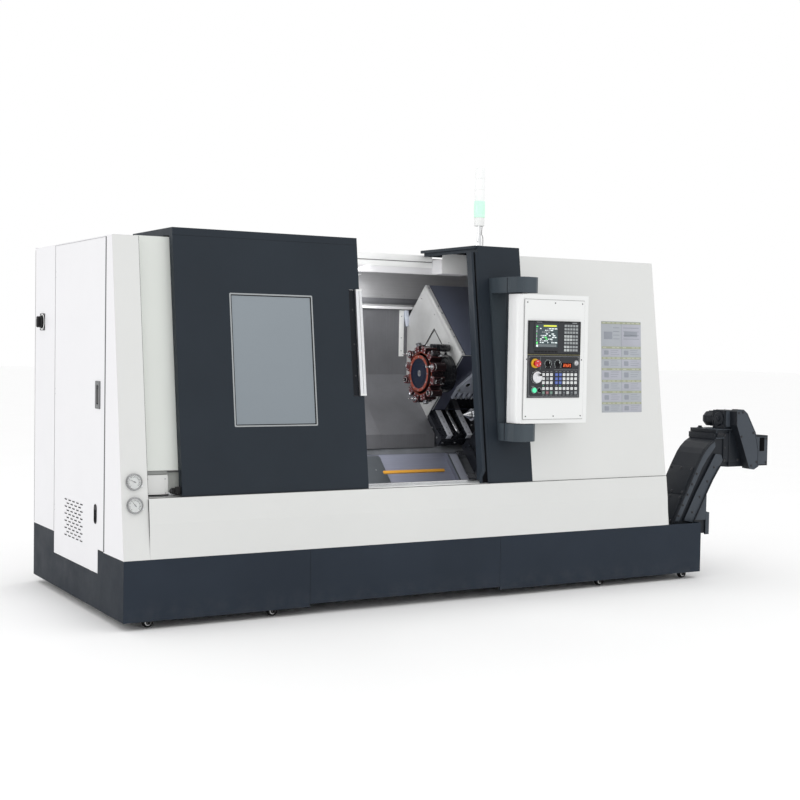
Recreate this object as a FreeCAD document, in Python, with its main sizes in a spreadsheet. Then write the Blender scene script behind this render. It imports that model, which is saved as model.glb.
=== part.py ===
import FreeCAD, Part

import Sketcher
import math
import os

os.makedirs("parts", exist_ok=True)

V = FreeCAD.Vector
doc = FreeCAD.newDocument("TurningLathe")
sheet = doc.addObject("Spreadsheet::Sheet", "Dims")
sheet_row = [0]


class Dim:
    """A size in millimetres that carries the sheet expression it comes from."""

    def __init__(self, value, text):
        self.v = float(value)
        self.t = text

    def __add__(self, o):
        return Dim(self.v + num(o), "(%s + %s)" % (self.t, txt(o)))

    def __radd__(self, o):
        return Dim(num(o) + self.v, "(%s + %s)" % (txt(o), self.t))

    def __sub__(self, o):
        return Dim(self.v - num(o), "(%s - %s)" % (self.t, txt(o)))

    def __rsub__(self, o):
        return Dim(num(o) - self.v, "(%s - %s)" % (txt(o), self.t))

    def __mul__(self, o):
        return Dim(self.v * num(o), "(%s * %s)" % (self.t, txt(o)))

    def __rmul__(self, o):
        return Dim(num(o) * self.v, "(%s * %s)" % (txt(o), self.t))

    def __truediv__(self, o):
        return Dim(self.v / num(o), "(%s / %s)" % (self.t, txt(o)))

    def __neg__(self):
        return Dim(-self.v, "(0 - %s)" % self.t)


def num(a):
    return a.v if isinstance(a, Dim) else float(a)


def txt(a):
    return a.t if isinstance(a, Dim) else "(%.9g)" % a


def cell(alias, value, note):
    """One driving dimension: alias, plain number and a note in the sheet."""
    sheet_row[0] += 1
    row = sheet_row[0]
    sheet.set("A%d" % row, alias)
    sheet.set("B%d" % row, "%.9g" % value)
    sheet.set("C%d" % row, note)
    sheet.setAlias("B%d" % row, alias)
    return Dim(value, "Dims." + alias)


# ---------------------------------------------------------------- dimensions
# Machine frame: x from the left face, y from the front face of the plinth
# (to the back), z from the floor.  origin_x and origin_y shift it so that the
# model's own origin is under the middle of the whole machine.
origin_x = cell("origin_x", 2096.0, "left face to the model origin")
origin_y = cell("origin_y", 714.55, "plinth front to the model origin")
base_len = cell("base_len", 3623.5, "coolant tank length")
base_depth = cell("base_depth", 1556, "whole depth of the machine")
plinth_bot = cell("plinth_bot", 40, "lower edge of the plinth")
plinth_top = cell("plinth_top", 336.5, "upper edge of the plinth")
tank_depth = cell("tank_depth", 600, "front to back depth of the tank")
lean = cell("lean", 0.13614, "front plane: y per unit of height above the plinth")
cover_len = cell("cover_len", 3368, "left face to right face of the covers")
cover_top = cell("cover_top", 1899, "top of the roof covers")
column_top = cell("column_top", 1890, "top of the left column cover")
column_w = cell("column_w", 132, "width of the left column cover")
side_y0 = cell("side_y0", 304, "rear edge of the left column's side face")
side_y1 = cell("side_y1", 1157, "rear edge of the side door opening")
sheet_th = cell("sheet_th", 3, "thickness of the cover sheet")
door_x0 = cell("door_x0", 307, "left edge of the sliding door")
door_x1 = cell("door_x1", 1340, "right edge of the sliding door")
door_z0 = cell("door_z0", 628.5, "lower edge of the sliding door")
door_z1 = cell("door_z1", 1944, "top of the sliding door")
door_th = cell("door_th", 45, "depth of the door pan")
door_roof = cell("door_roof", 797, "how far back the door's roof reaches")
lip_h = cell("lip_h", 36, "height of the roof lip")
win_x0 = cell("win_x0", 602, "window left")
win_x1 = cell("win_x1", 1054, "window right")
win_z0 = cell("win_z0", 965, "window bottom")
win_z1 = cell("win_z1", 1623, "window top")
post_x0 = cell("post_x0", 2107, "door post left")
post_x1 = cell("post_x1", 2392, "door post right")
low_cover_top = cell("low_cover_top", 626, "top of the lower front cover")
wall_x0 = cell("wall_x0", 1060, "left bulkhead of the work area")
wall_x1 = cell("wall_x1", 3250, "right bulkhead of the work area")
slope_cos = cell("slope_cos", 0.70710678, "cosine and sine of the 45 degree bed")
bed_angle = cell("bed_angle", 45, "slant of the bed in degrees")
bed_q = cell("bed_q", -80, "bed surface, normal to the slant")
bed_x0 = cell("bed_x0", 420, "left end of the bed casting")
bed_x1 = cell("bed_x1", 3300, "right end of the bed casting")
axis_p = cell("axis_p", 1046.518, "spindle axis, along the slant")
axis_q = cell("axis_q", 339.411, "spindle axis, normal to the slant")
spindle_y = cell("spindle_y", 500, "spindle axis, depth")
spindle_z = cell("spindle_z", 980, "spindle axis, height")
bore_r = cell("bore_r", 38, "through bore of spindle and chuck")
chuck_r = cell("chuck_r", 152, "chuck radius")
turret_p = cell("turret_p", 1379, "turret centre along the slant")
carriage_x0 = cell("carriage_x0", 2250, "left face of the carriage")
carriage_x1 = cell("carriage_x1", 2600, "right face of the carriage")
plate_p0 = cell("plate_p0", 1347, "lower edge of the carriage side plate")
plate_p1 = cell("plate_p1", 1949, "upper edge of the carriage side plate")
plate_q1 = cell("plate_q1", 527, "outer edge of the carriage side plate")
disc_x0 = cell("disc_x0", 2050, "front face of the turret disc")
disc_flat = cell("disc_flat", 126, "turret centre to the flats that carry the holders")
tip_x = cell("tip_x", 2213, "tip of the live centre")
box_x0 = cell("box_x0", 2199, "control box left")
box_x1 = cell("box_x1", 2662, "control box right")
box_y0 = cell("box_y0", -85, "control box front")
box_y1 = cell("box_y1", 45, "control box back")
box_z0 = cell("box_z0", 962, "control box bottom")
box_z1 = cell("box_z1", 1672, "control box top")
pivot_x = cell("pivot_x", 2262, "control box pivot")
pivot_y = cell("pivot_y", -30, "control box pivot")
conv_y0 = cell("conv_y0", 80, "front side of the conveyor casing")
conv_y1 = cell("conv_y1", 300, "rear side of the conveyor casing")
wheel_r = cell("wheel_r", 25, "caster wheel radius")

shapes = {}  # node name -> document object that is exported
hollows = []  # (body, pocket) pairs whose volumes are compared at the end


# ------------------------------------------------------------------- helpers
def bind(obj, prop, d):
    """Sets a property from a number, or binds it to the sheet."""
    if isinstance(d, Dim):
        obj.setExpression(prop, d.t)
    else:
        o = obj
        names = prop.split(".")
        if len(names) == 1:
            setattr(o, prop, d)
        else:
            obj.setExpression(prop, "%.9g" % d)


def place(obj, x, y, z, axis=None, angle=0.0):
    """Puts an object at a machine-frame point, turned about an axis."""
    rot = FreeCAD.Rotation(V(*axis), float(angle)) if axis else FreeCAD.Rotation()
    obj.Placement = FreeCAD.Placement(
        V(num(x) - origin_x.v, num(y) - origin_y.v, num(z)), rot
    )
    bind(obj, "Placement.Base.x", x - origin_x if isinstance(x, Dim) else num(x) - origin_x)
    bind(obj, "Placement.Base.y", y - origin_y if isinstance(y, Dim) else num(y) - origin_y)
    bind(obj, "Placement.Base.z", z)


def box(name, x0, x1, y0, y1, z0, z1):
    o = doc.addObject("Part::Box", name)
    bind(o, "Length", x1 - x0)
    bind(o, "Width", y1 - y0)
    bind(o, "Height", z1 - z0)
    place(o, x0, y0, z0)
    return o


def slope_point(p, q):
    """Machine y and z of a point given along (p) and normal to (q) the slant."""
    return (p - q) * slope_cos, (p + q) * slope_cos


def sbox(name, x0, x1, p0, p1, q0, q1):
    """A box lying on the slanted bed."""
    o = doc.addObject("Part::Box", name)
    bind(o, "Length", x1 - x0)
    bind(o, "Width", p1 - p0)
    bind(o, "Height", q1 - q0)
    y, z = slope_point(p0, q0)
    place(o, x0, y, z, (1, 0, 0), 45.0)
    return o


def cyl(name, r, length, x, y, z, along="z", lean_deg=0.0):
    """A cylinder that starts at x, y, z and runs along +x, +y, -y or +z."""
    o = doc.addObject("Part::Cylinder", name)
    bind(o, "Radius", r)
    bind(o, "Height", length)
    if along == "x":
        place(o, x, y, z, (0, 1, 0), 90.0)
    elif along == "y":
        place(o, x, y, z, (1, 0, 0), -90.0)
    elif along == "-y":
        place(o, x, y, z, (1, 0, 0), 90.0 - lean_deg)
    else:
        place(o, x, y, z)
    return o


def cone(name, r0, r1, length, x, y, z, along="z"):
    o = doc.addObject("Part::Cone", name)
    bind(o, "Radius1", r0)
    bind(o, "Radius2", r1)
    bind(o, "Height", length)
    if along == "x":
        place(o, x, y, z, (0, 1, 0), 90.0)
    elif along == "-y":
        place(o, x, y, z, (1, 0, 0), 90.0)
    else:
        place(o, x, y, z)
    return o


def fuse(name, *parts):
    o = doc.addObject("Part::MultiFuse", name)
    o.Shapes = list(parts)
    o.Refine = True
    return o


def cut(name, base, tool):
    o = doc.addObject("Part::Cut", name)
    o.Base = base
    o.Tool = tool
    o.Refine = True
    return o


def common(name, base, tool):
    o = doc.addObject("Part::Common", name)
    o.Base = base
    o.Tool = tool
    return o


def group(name, *parts):
    """Separate like pieces that share one node."""
    o = doc.addObject("Part::Compound", name)
    o.Links = list(parts)
    return o


def origin_plane(body, role):
    for f in body.Origin.OriginFeatures:
        if f.Role == role:
            return f
    raise ValueError(role)


def polygon(sketch, pts):
    """A closed outline whose every corner is dimensioned from the origin."""
    n = len(pts)
    p = [V(num(a), num(b), 0) for a, b in pts]
    for i in range(n):
        sketch.addGeometry(Part.LineSegment(p[i], p[(i + 1) % n]), False)
    for i in range(n):
        sketch.addConstraint(Sketcher.Constraint("Coincident", i, 2, (i + 1) % n, 1))
    for i, (a, b) in enumerate(pts):
        for kind, d, other in (("DistanceX", a, -2), ("DistanceY", b, -1)):
            if abs(num(d)) < 1e-9:
                sketch.addConstraint(Sketcher.Constraint("PointOnObject", i, 1, other))
            else:
                k = sketch.addConstraint(
                    Sketcher.Constraint(kind, -1, 1, i, 1, num(d))
                )
                if isinstance(d, Dim):
                    sketch.setExpression("Constraints[%d]" % k, d.t)


def new_body(name):
    return doc.addObject("PartDesign::Body", name)


def add_sketch(body, name, role, pts, offset=0.0):
    s = body.newObject("Sketcher::SketchObject", name)
    s.AttachmentSupport = [(origin_plane(body, role), "")]
    s.MapMode = "FlatFace"
    if isinstance(offset, Dim) or abs(offset) > 1e-9:
        s.AttachmentOffset = FreeCAD.Placement(V(0, 0, num(offset)), FreeCAD.Rotation())
        if isinstance(offset, Dim):
            s.setExpression("AttachmentOffset.Base.z", offset.t)
    polygon(s, pts)
    return s


def prism(name, pts, x0, x1, dy=0.0, dz=0.0, slant=False):
    """A body with a (y, z) outline padded along x from x0 to x1.

    dy and dz move the outline into the sketch's positive quarter.  With slant
    the outline is given along and normal to the slanted bed.
    """
    body = new_body(name)
    s = add_sketch(body, name + "_outline", "YZ_Plane", [(a + dy, b + dz) for a, b in pts])
    pad = body.newObject("PartDesign::Pad", name + "_pad")
    pad.Profile = s
    bind(pad, "Length", x1 - x0)
    if slant:
        y, z = slope_point(0.0 * slope_cos - dy, 0.0 * slope_cos - dz)
        place(body, x0, y, z, (1, 0, 0), 45.0)
    else:
        place(body, x0, -dy, -dz)
    body.Tip = pad
    return body


def pocket(body, pts, at, length, dy=0.0, dz=0.0, tag="hollow"):
    """Cuts a (y, z) outline out of a prism, from 'at' past its left end on."""
    name = body.Name + "_" + tag
    s = add_sketch(body, name + "_outline", "YZ_Plane", [(a + dy, b + dz) for a, b in pts], at)
    pk = body.newObject("PartDesign::Pocket", name)
    pk.Profile = s
    bind(pk, "Length", length)
    pk.Reversed = True
    hollows.append((body, pk))
    return pk


def wide_prism(name, pts, y1, width, dx=0.0):
    """A body with an (x, z) outline that reaches from y1 - width to y1."""
    body = new_body(name)
    s = add_sketch(body, name + "_outline", "XZ_Plane", [(a + dx, b) for a, b in pts])
    pad = body.newObject("PartDesign::Pad", name + "_pad")
    pad.Profile = s
    bind(pad, "Length", width)
    place(body, -dx, y1, 0)
    body.Tip = pad
    return body


def tall_prism(name, pts, z0, height, dx=0.0, dy=0.0):
    """A body with an (x, y) outline padded upwards from z0."""
    body = new_body(name)
    s = add_sketch(body, name + "_outline", "XY_Plane", [(a + dx, b + dy) for a, b in pts])
    pad = body.newObject("PartDesign::Pad", name + "_pad")
    pad.Profile = s
    bind(pad, "Length", height)
    place(body, -dx, -dy, z0)
    body.Tip = pad
    return body


def turned(name, pts, x, y, z):
    """A body turned about an axis along x; pts are (x from start, radius)."""
    body = new_body(name)
    s = add_sketch(body, name + "_outline", "XY_Plane", pts)
    rev = body.newObject("PartDesign::Revolution", name + "_turned")
    rev.Profile = s
    rev.ReferenceAxis = (s, ["H_Axis"])
    rev.Angle = 360.0
    place(body, x, y, z)
    body.Tip = rev
    return body


def fy(z):
    """Depth of the leaning front plane at height z."""
    return (z - plinth_top) * lean


def piece(obj, node=None):
    """Marks a finished sub-part and gives it its label."""
    node = node or obj.Name
    obj.Label = node
    shapes[node] = obj
    return obj


# ------------------------------------------------------------ bed and plinth
# Slanted bed: one casting with a 45 degree way surface, cored out between
# five cross walls.
bed_back = 1540.0
bed_sum = bed_q * (-1) / slope_cos  # y - z on the way surface
bed = prism(
    "bed_casting",
    [
        (650.0, 60.0),
        (bed_back, 60.0),
        (bed_back, 1315.0),
        (1315.0 + bed_sum, 1315.0),
        (650.0, 650.0 - bed_sum),
    ],
    bed_x0,
    bed_x1,
)
core = pocket(
    bed,
    [
        (685.0, 95.0),
        (1505.0, 95.0),
        (1505.0, 1280.0),
        (1280.0 + bed_sum + 50, 1280.0),
        (685.0, 635.0 - bed_sum),
    ],
    35.0,
    676.0,
    tag="core",
)
doc.recompute()
cores_solid = doc.getObject("bed_casting_pad").Shape.Volume
cores = bed.newObject("PartDesign::LinearPattern", "bed_casting_cores")
cores.Originals = [core]
cores.Direction = (origin_plane(bed, "X_Axis"), [""])
cores.Length = 2133.0
cores.Occurrences = 4
bed.Tip = cores
piece(bed)

# Levelling feet under the casting: pad, and stud up to the casting's foot.
feet = []
for i, (fx, fy_) in enumerate([(x, y) for x in (560, 1860, 3160) for y in (700, 1500)]):
    if fy_ == 1500:
        fy_ = 1498
    pad_ = cyl("foot_pad_%d" % i, 50, 18, float(fx), float(fy_), 0.0)
    top_ = cone("foot_cone_%d" % i, 50, 24, 14, float(fx), float(fy_), 18.0)
    stud = cyl("foot_stud_%d" % i, 18, 28, float(fx), float(fy_), 32.0)
    feet.append(fuse("foot_%d" % i, pad_, top_, stud))
piece(group("leveling_feet", *feet))

# Coolant tank: long tray on casters, skirted to 40 mm above the floor, open
# under the work area and at its right end.
tank_body = box("tank_outer", 40.0, base_len, 0.0, tank_depth, plinth_bot, plinth_top)
tank_void = box("tank_void", 44.0, base_len - 4, 4.0, tank_depth - 4, 80.0, plinth_top - 4)
tank_under = box("tank_under", 44.0, base_len - 4, 4.0, tank_depth - 4, 30.0, 76.0)
tank_mouth = box("tank_mouth", 700.0, 3362.0, 40.0, tank_depth - 40, 320.0, plinth_top + 5)
tank_end = box("tank_end", 3361.0, base_len - 4, 4.0, tank_depth - 4, 320.0, plinth_top + 5)
tank_raise = box("tank_raise", 986.0, 2155.0, -5.0, 5.0, 30.0, 55.0)
tank_notch = box("tank_notch", 3600.0, 3640.0, 75.0, 305.0, 316.0, plinth_top + 5)
tank_cut = fuse("tank_cut", tank_void, tank_under, tank_mouth, tank_end, tank_raise, tank_notch)
tank_tray = cut("tank_tray", tank_body, tank_cut)
fascia_side = box("fascia_side", 0.0, 4.0, 0.0, base_depth, plinth_bot, plinth_top)
fascia_notch = box("fascia_notch", -5.0, 10.0, 391.0, side_y1, 217.0, plinth_top + 5)
fascia_cut = cut("fascia_cut", fascia_side, fascia_notch)
fascia_front = box("fascia_front", 0.0, 44.0, 0.0, 4.0, plinth_bot, plinth_top)
fascia_top = box("fascia_top", 0.0, 44.0, 0.0, 300.0, plinth_top - 4, plinth_top)
fascia_back = box("fascia_back", 0.0, 414.0, base_depth - 4, base_depth, plinth_bot, plinth_top)
piece(fuse("coolant_tank", tank_tray, fascia_cut, fascia_front, fascia_top, fascia_back))

# Fixed caster forks under the tank floor, front and rear.
caster_x = (141.0, 800.0, 2896.0, 3530.0)
caster_y = (62.0, 540.0)
forks = []
for i, cx in enumerate(caster_x):
    for j, cy in enumerate(caster_y):
        top_ = box("fork_top_%d%d" % (i, j), cx - 28, cx + 28, cy - 22, cy + 22, 72.0, 76.0)
        leg_a = box("fork_leg_a_%d%d" % (i, j), cx - 11, cx + 11, cy - 18, cy - 15, 20.0, 73.0)
        leg_b = box("fork_leg_b_%d%d" % (i, j), cx - 11, cx + 11, cy + 15, cy + 18, 20.0, 73.0)
        hole = cyl("fork_hole_%d%d" % (i, j), 5.1, 60, cx, cy - 30, 1.0 + wheel_r, "y")
        forks.append(cut("fork_%d%d" % (i, j), fuse("fork_raw_%d%d" % (i, j), top_, leg_a, leg_b), hole))
piece(group("caster_forks", *forks))

# Wheels: a front and a rear wheel turn on one axle rod across the tank.
for i, cx in enumerate(caster_x):
    rod = cyl("axle_rod_%d" % i, 5, caster_y[1] - caster_y[0] + 48, cx, caster_y[0] - 24, 1.0 + wheel_r, "y")
    tyres = []
    for j, cy in enumerate(caster_y):
        tyres.append(cyl("tyre_%d%d" % (i, j), wheel_r, 24, cx, cy - 12, 1.0 + wheel_r, "y"))
    piece(fuse("tank_wheels_%d" % (i + 1), rod, *tyres))

# --------------------------------------------------------------- sheet covers
# Left column: folded cover with a leaning front, open at its rear edge.
col = prism(
    "left_column_cover",
    [(0.0, plinth_top), (fy(column_top), column_top), (side_y0, column_top), (side_y0, plinth_top)],
    0.0,
    column_w,
)
pocket(
    col,
    [
        (3.05, plinth_top + 3),
        (fy(column_top) + 3.05, column_top - 3),
        (side_y0 + 5, column_top - 3),
        (side_y0 + 5, plinth_top + 3),
    ],
    sheet_th,
    column_w - 2 * sheet_th,
)
piece(col)

# Two round pressure gauges on the column's leaning front.
gauges = []
lean_deg = math.degrees(math.atan(lean.v))
for i, gz in enumerate((707.0, 596.0)):
    rim = cyl("gauge_rim_%d" % i, 40, 14, 64.0, fy(gz) - 0.2, gz, "-y", lean_deg)
    gauges.append(rim)
piece(group("pressure_gauges", *gauges))

# Headstock cover: leaning front sheet 50 mm behind the door plane, stepped
# back below, and folded over into the roof of the headstock room.
hc_bot = 755.0
hc_top = 1897.0
back = 50.0
hc = prism(
    "headstock_cover",
    [
        (fy(631.0) + back + 42, 631.0),
        (fy(hc_bot) + back + 42, hc_bot - 3),
        (fy(hc_bot) + back, hc_bot - 3),
        (fy(hc_top) + back, hc_top),
        (799.0, hc_top),
        (799.0, hc_top - 3),
        (fy(hc_top) + back + 3, hc_top - 3),
        (fy(hc_bot) + back + 3, hc_bot),
        (fy(hc_bot) + back + 45, hc_bot),
        (fy(631.0) + back + 45, 631.0),
    ],
    column_w,
    wall_x0 - 4,
)
piece(hc)

# Lower front cover: folded sheet with a flange on which the door track stands.
lc = prism(
    "lower_front_cover",
    [
        (0.0, plinth_top),
        (11.4, 503.5),
        (27.5, low_cover_top),
        (150.0, low_cover_top),
        (150.0, low_cover_top - 25),
        (147.0, low_cover_top - 25),
        (147.0, low_cover_top - 3),
        (30.1, low_cover_top - 3),
        (14.4, 503.2),
        (3.0, plinth_top),
    ],
    column_w,
    cover_len - 5,
)
piece(lc)

# Right cover: leaning front sheet and the whole right side, one folded sheet.
rc_front = prism(
    "right_front_sheet",
    [
        (fy(low_cover_top), low_cover_top),
        (fy(cover_top), cover_top),
        (fy(cover_top) + 40, cover_top),
        (fy(cover_top) + 40, cover_top - 3),
        (fy(cover_top) + 3, cover_top - 3),
        (fy(low_cover_top) + 3, low_cover_top),
    ],
    post_x1,
    cover_len,
)
rc_side = prism(
    "right_side_sheet",
    [
        (0.0, plinth_top),
        (fy(cover_top), cover_top),
        (base_depth, cover_top),
        (base_depth, plinth_top),
    ],
    cover_len - sheet_th,
    cover_len,
)
piece(fuse("right_cover", rc_front, rc_side))

# Rear cover: back sheet, left rear strip and its inner fold.
rear_back = box("rear_back", 0.0, cover_len - 4, base_depth - 3, base_depth, plinth_top, cover_top - 4)
rear_left = box("rear_left", 0.0, 3.0, side_y1, base_depth, plinth_top, column_top)
rear_fold = box("rear_fold", 0.0, 36.0, side_y1, side_y1 + 3, plinth_top, column_top)
rear_door_top = box("rear_door_top", 0.0, 36.0, side_y0 + 1, base_depth, column_top - 3, column_top)
rear_raw = fuse("rear_raw", rear_back, rear_left, rear_fold, rear_door_top)
rear_hole = cyl("rear_hole", 10.1, 20, -10.0, 1400.0, 1476.0, "x")
piece(cut("rear_cover", rear_raw, rear_hole))

# Roof: flat sheet behind the sliding door's travel, wider at the right, with
# a beam face along the front of the opening.
roof_a = box("roof_a", 37.0, cover_len - 4, 803.0, base_depth - 4, cover_top - 3, cover_top)
roof_c = box("roof_c", 37.0, column_w - 0.5, side_y0 + 2, 804.0, cover_top - 3, cover_top)
roof_b = box("roof_b", post_x1 + 2, cover_len - 4, fy(cover_top) + 42, 804.0, cover_top - 3, cover_top)
roof_beam = box("roof_beam", wall_x0 + 2, post_x1 + 3, 803.0, 806.0, 1805.0, cover_top)
roof_beam_low = box("roof_beam_low", wall_x0 + 2, post_x1 + 3, 803.0, 840.0, 1805.0, 1808.0)
roof_block = box("roof_block", 2175.0, 2388.0, 700.0, 804.0, 1806.0, 1892.0)
piece(fuse("roof_cover", roof_a, roof_b, roof_c, roof_beam, roof_beam_low, roof_block))

# Door post: dark folded box section in the front plane with its own roof.
post = prism(
    "door_post",
    [
        (fy(627.0), 627.0),
        (fy(door_z1), door_z1),
        (790.0, door_z1),
        (790.0, door_z1 - lip_h),
        (330.0, door_z1 - lip_h),
        (180.0, 700.0),
        (180.0, 627.0),
    ],
    post_x0,
    post_x1,
)
pocket(
    post,
    [
        (fy(620.0) + 3.5, 620.0),
        (fy(door_z1) + 3, door_z1 - 3),
        (787.0, door_z1 - 3),
        (787.0, door_z1 - lip_h - 5),
        (340.0, door_z1 - lip_h - 5),
        (190.0, 700.0),
        (190.0, 620.0),
    ],
    sheet_th,
    post_x1 - post_x0 - 2 * sheet_th,
)
piece(post)

# Tracks of the sliding door: lower bar on the cover's flange, upper bar on
# the roof beam.
track_low = box("track_low", column_w + 1, 2100.0, 110.0, 128.0, low_cover_top, low_cover_top + 18)
track_up = box("track_up", column_w + 1, 2172.0, 807.0, 825.0, cover_top, cover_top + 5)
piece(group("door_tracks", track_low, track_up))

# ------------------------------------------------------------- sliding door
door = prism(
    "door_panel",
    [
        (fy(door_z0), door_z0),
        (fy(door_z1), door_z1),
        (door_roof, door_z1),
        (door_roof, door_z1 - lip_h),
        (fy(door_z1) + door_th + 60, door_z1 - lip_h),
        (fy(door_z1) + door_th - 5, door_z1 - lip_h - 4),
        (fy(door_z0) + door_th, door_z0),
    ],
    door_x0,
    door_x1,
)
pocket(
    door,
    [
        (fy(door_z0) + 3.05, door_z0 + 3),
        (fy(door_z1) + 3, door_z1 - 3),
        (door_roof - 3, door_z1 - 3),
        (door_roof - 3, door_z1 - lip_h - 5),
        (fy(door_z1) + door_th + 66, door_z1 - lip_h - 5),
        (fy(door_z1) + door_th + 1, door_z1 - lip_h - 12),
        (fy(door_z0) + door_th + 6, door_z0 + 3),
    ],
    sheet_th,
    door_x1 - door_x0 - 2 * sheet_th,
)
win_cut = box("window_cut", win_x0, win_x1, 20.0, 300.0, win_z0, win_z1)
grip_cut = box("grip_cut", 1278.0, 1310.0, 20.0, fy(1669.0) + 6, 1110.0, 1669.0)
door_cut = cut("door_panel_cut", door, fuse("door_cuts", win_cut, grip_cut))
piece(door_cut, "door_panel")

# Window pane held 4 mm behind the door's skin.
win = prism(
    "door_window",
    [
        (fy(win_z0 - 18) + 3.4, win_z0 - 18),
        (fy(win_z1 + 18) + 3.4, win_z1 + 18),
        (fy(win_z1 + 18) + 11.4, win_z1 + 18),
        (fy(win_z0 - 18) + 11.4, win_z0 - 18),
    ],
    win_x0 - 18,
    win_x1 + 18,
)
piece(win)

# Vertical grip on the door's closing edge.
grip = prism(
    "door_handle",
    [
        (fy(1110.0) - 16, 1110.0),
        (fy(1669.0) - 16, 1669.0),
        (fy(1669.0) - 0.2, 1669.0),
        (fy(1110.0) - 0.2, 1110.0),
    ],
    1311.0,
    1348.0,
)
piece(grip)

# ---------------------------------------------------------------- side door
# Flat pan on the left side with its lower part reaching over the plinth; a
# barrel along its rear edge turns about the hinge line.
sd_upper = box("sd_upper", 0.0, 2.0, side_y0 + 3, side_y1 - 5, plinth_top + 4, column_top - 6)
sd_lower = box("sd_lower", 0.0, 2.0, 394.0, side_y1 - 5, 220.0, plinth_top + 5)
sd_fold_f = box("sd_fold_f", 0.0, 22.0, side_y0 + 3, side_y0 + 5, plinth_top + 4, column_top - 6)
sd_fold_t = box("sd_fold_t", 0.0, 22.0, side_y0 + 3, side_y1 - 30, column_top - 8, column_top - 6)
sd_barrel = cyl("sd_barrel", 7, 1500, 9.0, side_y1 - 12, 355.0)
piece(fuse("side_door", sd_upper, sd_lower, sd_fold_f, sd_fold_t, sd_barrel))

# Main switch knob on the rear strip of the left side.
knob_disc = cyl("switch_disc", 34, 14, -18.0, 1400.0, 1476.0, "x")
knob_grip = box("switch_grip", -48.0, -17.0, 1386.0, 1414.0, 1436.0, 1516.0)
knob_stem = cyl("switch_stem", 10, 17, -5.0, 1400.0, 1476.0, "x")
piece(fuse("main_switch_knob", knob_disc, knob_grip, knob_stem))

# ------------------------------------------------------- inside: fixed parts
# Guide rails of the carriage and of the tailstock on the bed.
rails = [
    sbox("rail_%d" % i, rx0, bed_x1 - 30, rp - 17, rp + 17, bed_q, bed_q + 34)
    for i, (rp, rx0) in enumerate(((1420.0, 1070.0), (1880.0, 1070.0), (900.0, 2366.0), (1080.0, 2366.0)))
]
piece(group("guide_rails", *rails))

# Inner sheet walls of the work area: left bulkhead with the spindle hole,
# right bulkhead, upper rear wall with the guide strip of the way covers.
below_bed = [(640.0, 500.0), (640.0, 640.0), (1260.0, 1260.0), (1260.0, 500.0)]
guard_left = box("guard_left", wall_x0 - 3, wall_x0, 268.0, 1245.0, 640.0, cover_top - 8)
guard_hole = cyl("guard_hole", 125, 40, wall_x0 - 20, spindle_y, spindle_z, "x")
guard_bed = prism("guard_bed", below_bed, wall_x0 - 20, wall_x0 + 20)
guard_left_cut = cut("guard_left_cut", guard_left, fuse("guard_cuts", guard_hole, guard_bed))
guard_back = box("guard_back", wall_x0 - 1, wall_x1, 1242.0, 1245.0, 1632.0, cover_top - 8)
guard_strip = box("guard_strip", wall_x0 - 1, wall_x1, 1200.0, 1245.0, 1606.0, 1632.0)
guard_right = box("guard_right", wall_x1 - 1, wall_x1 + 2, 268.0, 1198.0, 640.0, cover_top - 8)
guard_right_up = box("guard_right_up", wall_x1 - 1, wall_x1 + 2, 1190.0, 1245.0, 1606.0, cover_top - 8)
guard_bed_r = prism("guard_bed_r", below_bed, wall_x1 - 20, wall_x1 + 20)
guard_right_cut = cut("guard_right_cut", guard_right, guard_bed_r)
piece(fuse("splash_guard", guard_left_cut, guard_back, guard_strip, guard_right_cut, guard_right_up))

# Chute: sheet down the front of the bed into the tank, with a raised ledge
# at either side of the open middle part.
chute_sheet = prism(
    "chute_sheet",
    [(310.0, 202.0), (310.0, 206.2), (835.0, 731.2), (838.0, 730.0)],
    wall_x0 + 1,
    2362.0,
)
ledge = [(352.0, 247.0), (352.0, 290.0), (792.0, 730.0), (834.0, 730.0), (834.0, 729.0)]
ledge_r = prism("ledge_r", ledge, 2295.0, 2362.0)
ledge_l = prism("ledge_l", ledge, wall_x0 + 1, 1820.0)
piece(fuse("chip_chute", chute_sheet, ledge_r, ledge_l))

# Headstock: casting on the slanted bed around the spindle bore.
hs = prism(
    "headstock_raw",
    [
        (862.0, bed_q),
        (1480.0, bed_q),
        (1480.0, 60.0),
        (1240.0, 250.0),
        (1240.0, 480.0),
        (1150.0, 530.0),
        (940.0, 530.0),
        (862.0, 460.0),
    ],
    430.0,
    1000.0,
    dz=200.0,
    slant=True,
)
hs_bore = cyl("headstock_bore", 125, 600, 420.0, spindle_y, spindle_z, "x")
piece(cut("headstock_casting", hs, hs_bore))

# Spindle cartridge: sleeve in the headstock's bore with a bearing seat at
# each end and the built-in motor's stator between them.
piece(
    turned(
        "spindle_cartridge",
        [
            (0.0, 70.06),
            (90.0, 70.06),
            (90.0, 90.0),
            (480.0, 90.0),
            (480.0, 70.06),
            (570.0, 70.06),
            (570.0, 124.7),
            (0.0, 124.7),
        ],
        430.0,
        spindle_y,
        spindle_z,
    )
)


# Telescopic way covers: bent sheets that follow the bed's slant.
def way_cover(name, x0, x1, level):
    """One bent sheet; each level lies 6 mm further in than the last."""

    def line(d, rev=False):
        pts = [
            (853.0 + d, 764.0),
            (853.0 + d, 850.0 - 0.4142 * d),
            (1204.0 + d, 1201.0 - 0.4142 * d),
            (1204.0 + d, 1603.0),
        ]
        return pts[::-1] if rev else pts

    return prism(name, line(6.0 * level) + line(6.0 * level + 3.0, True), x0, x1)


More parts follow.
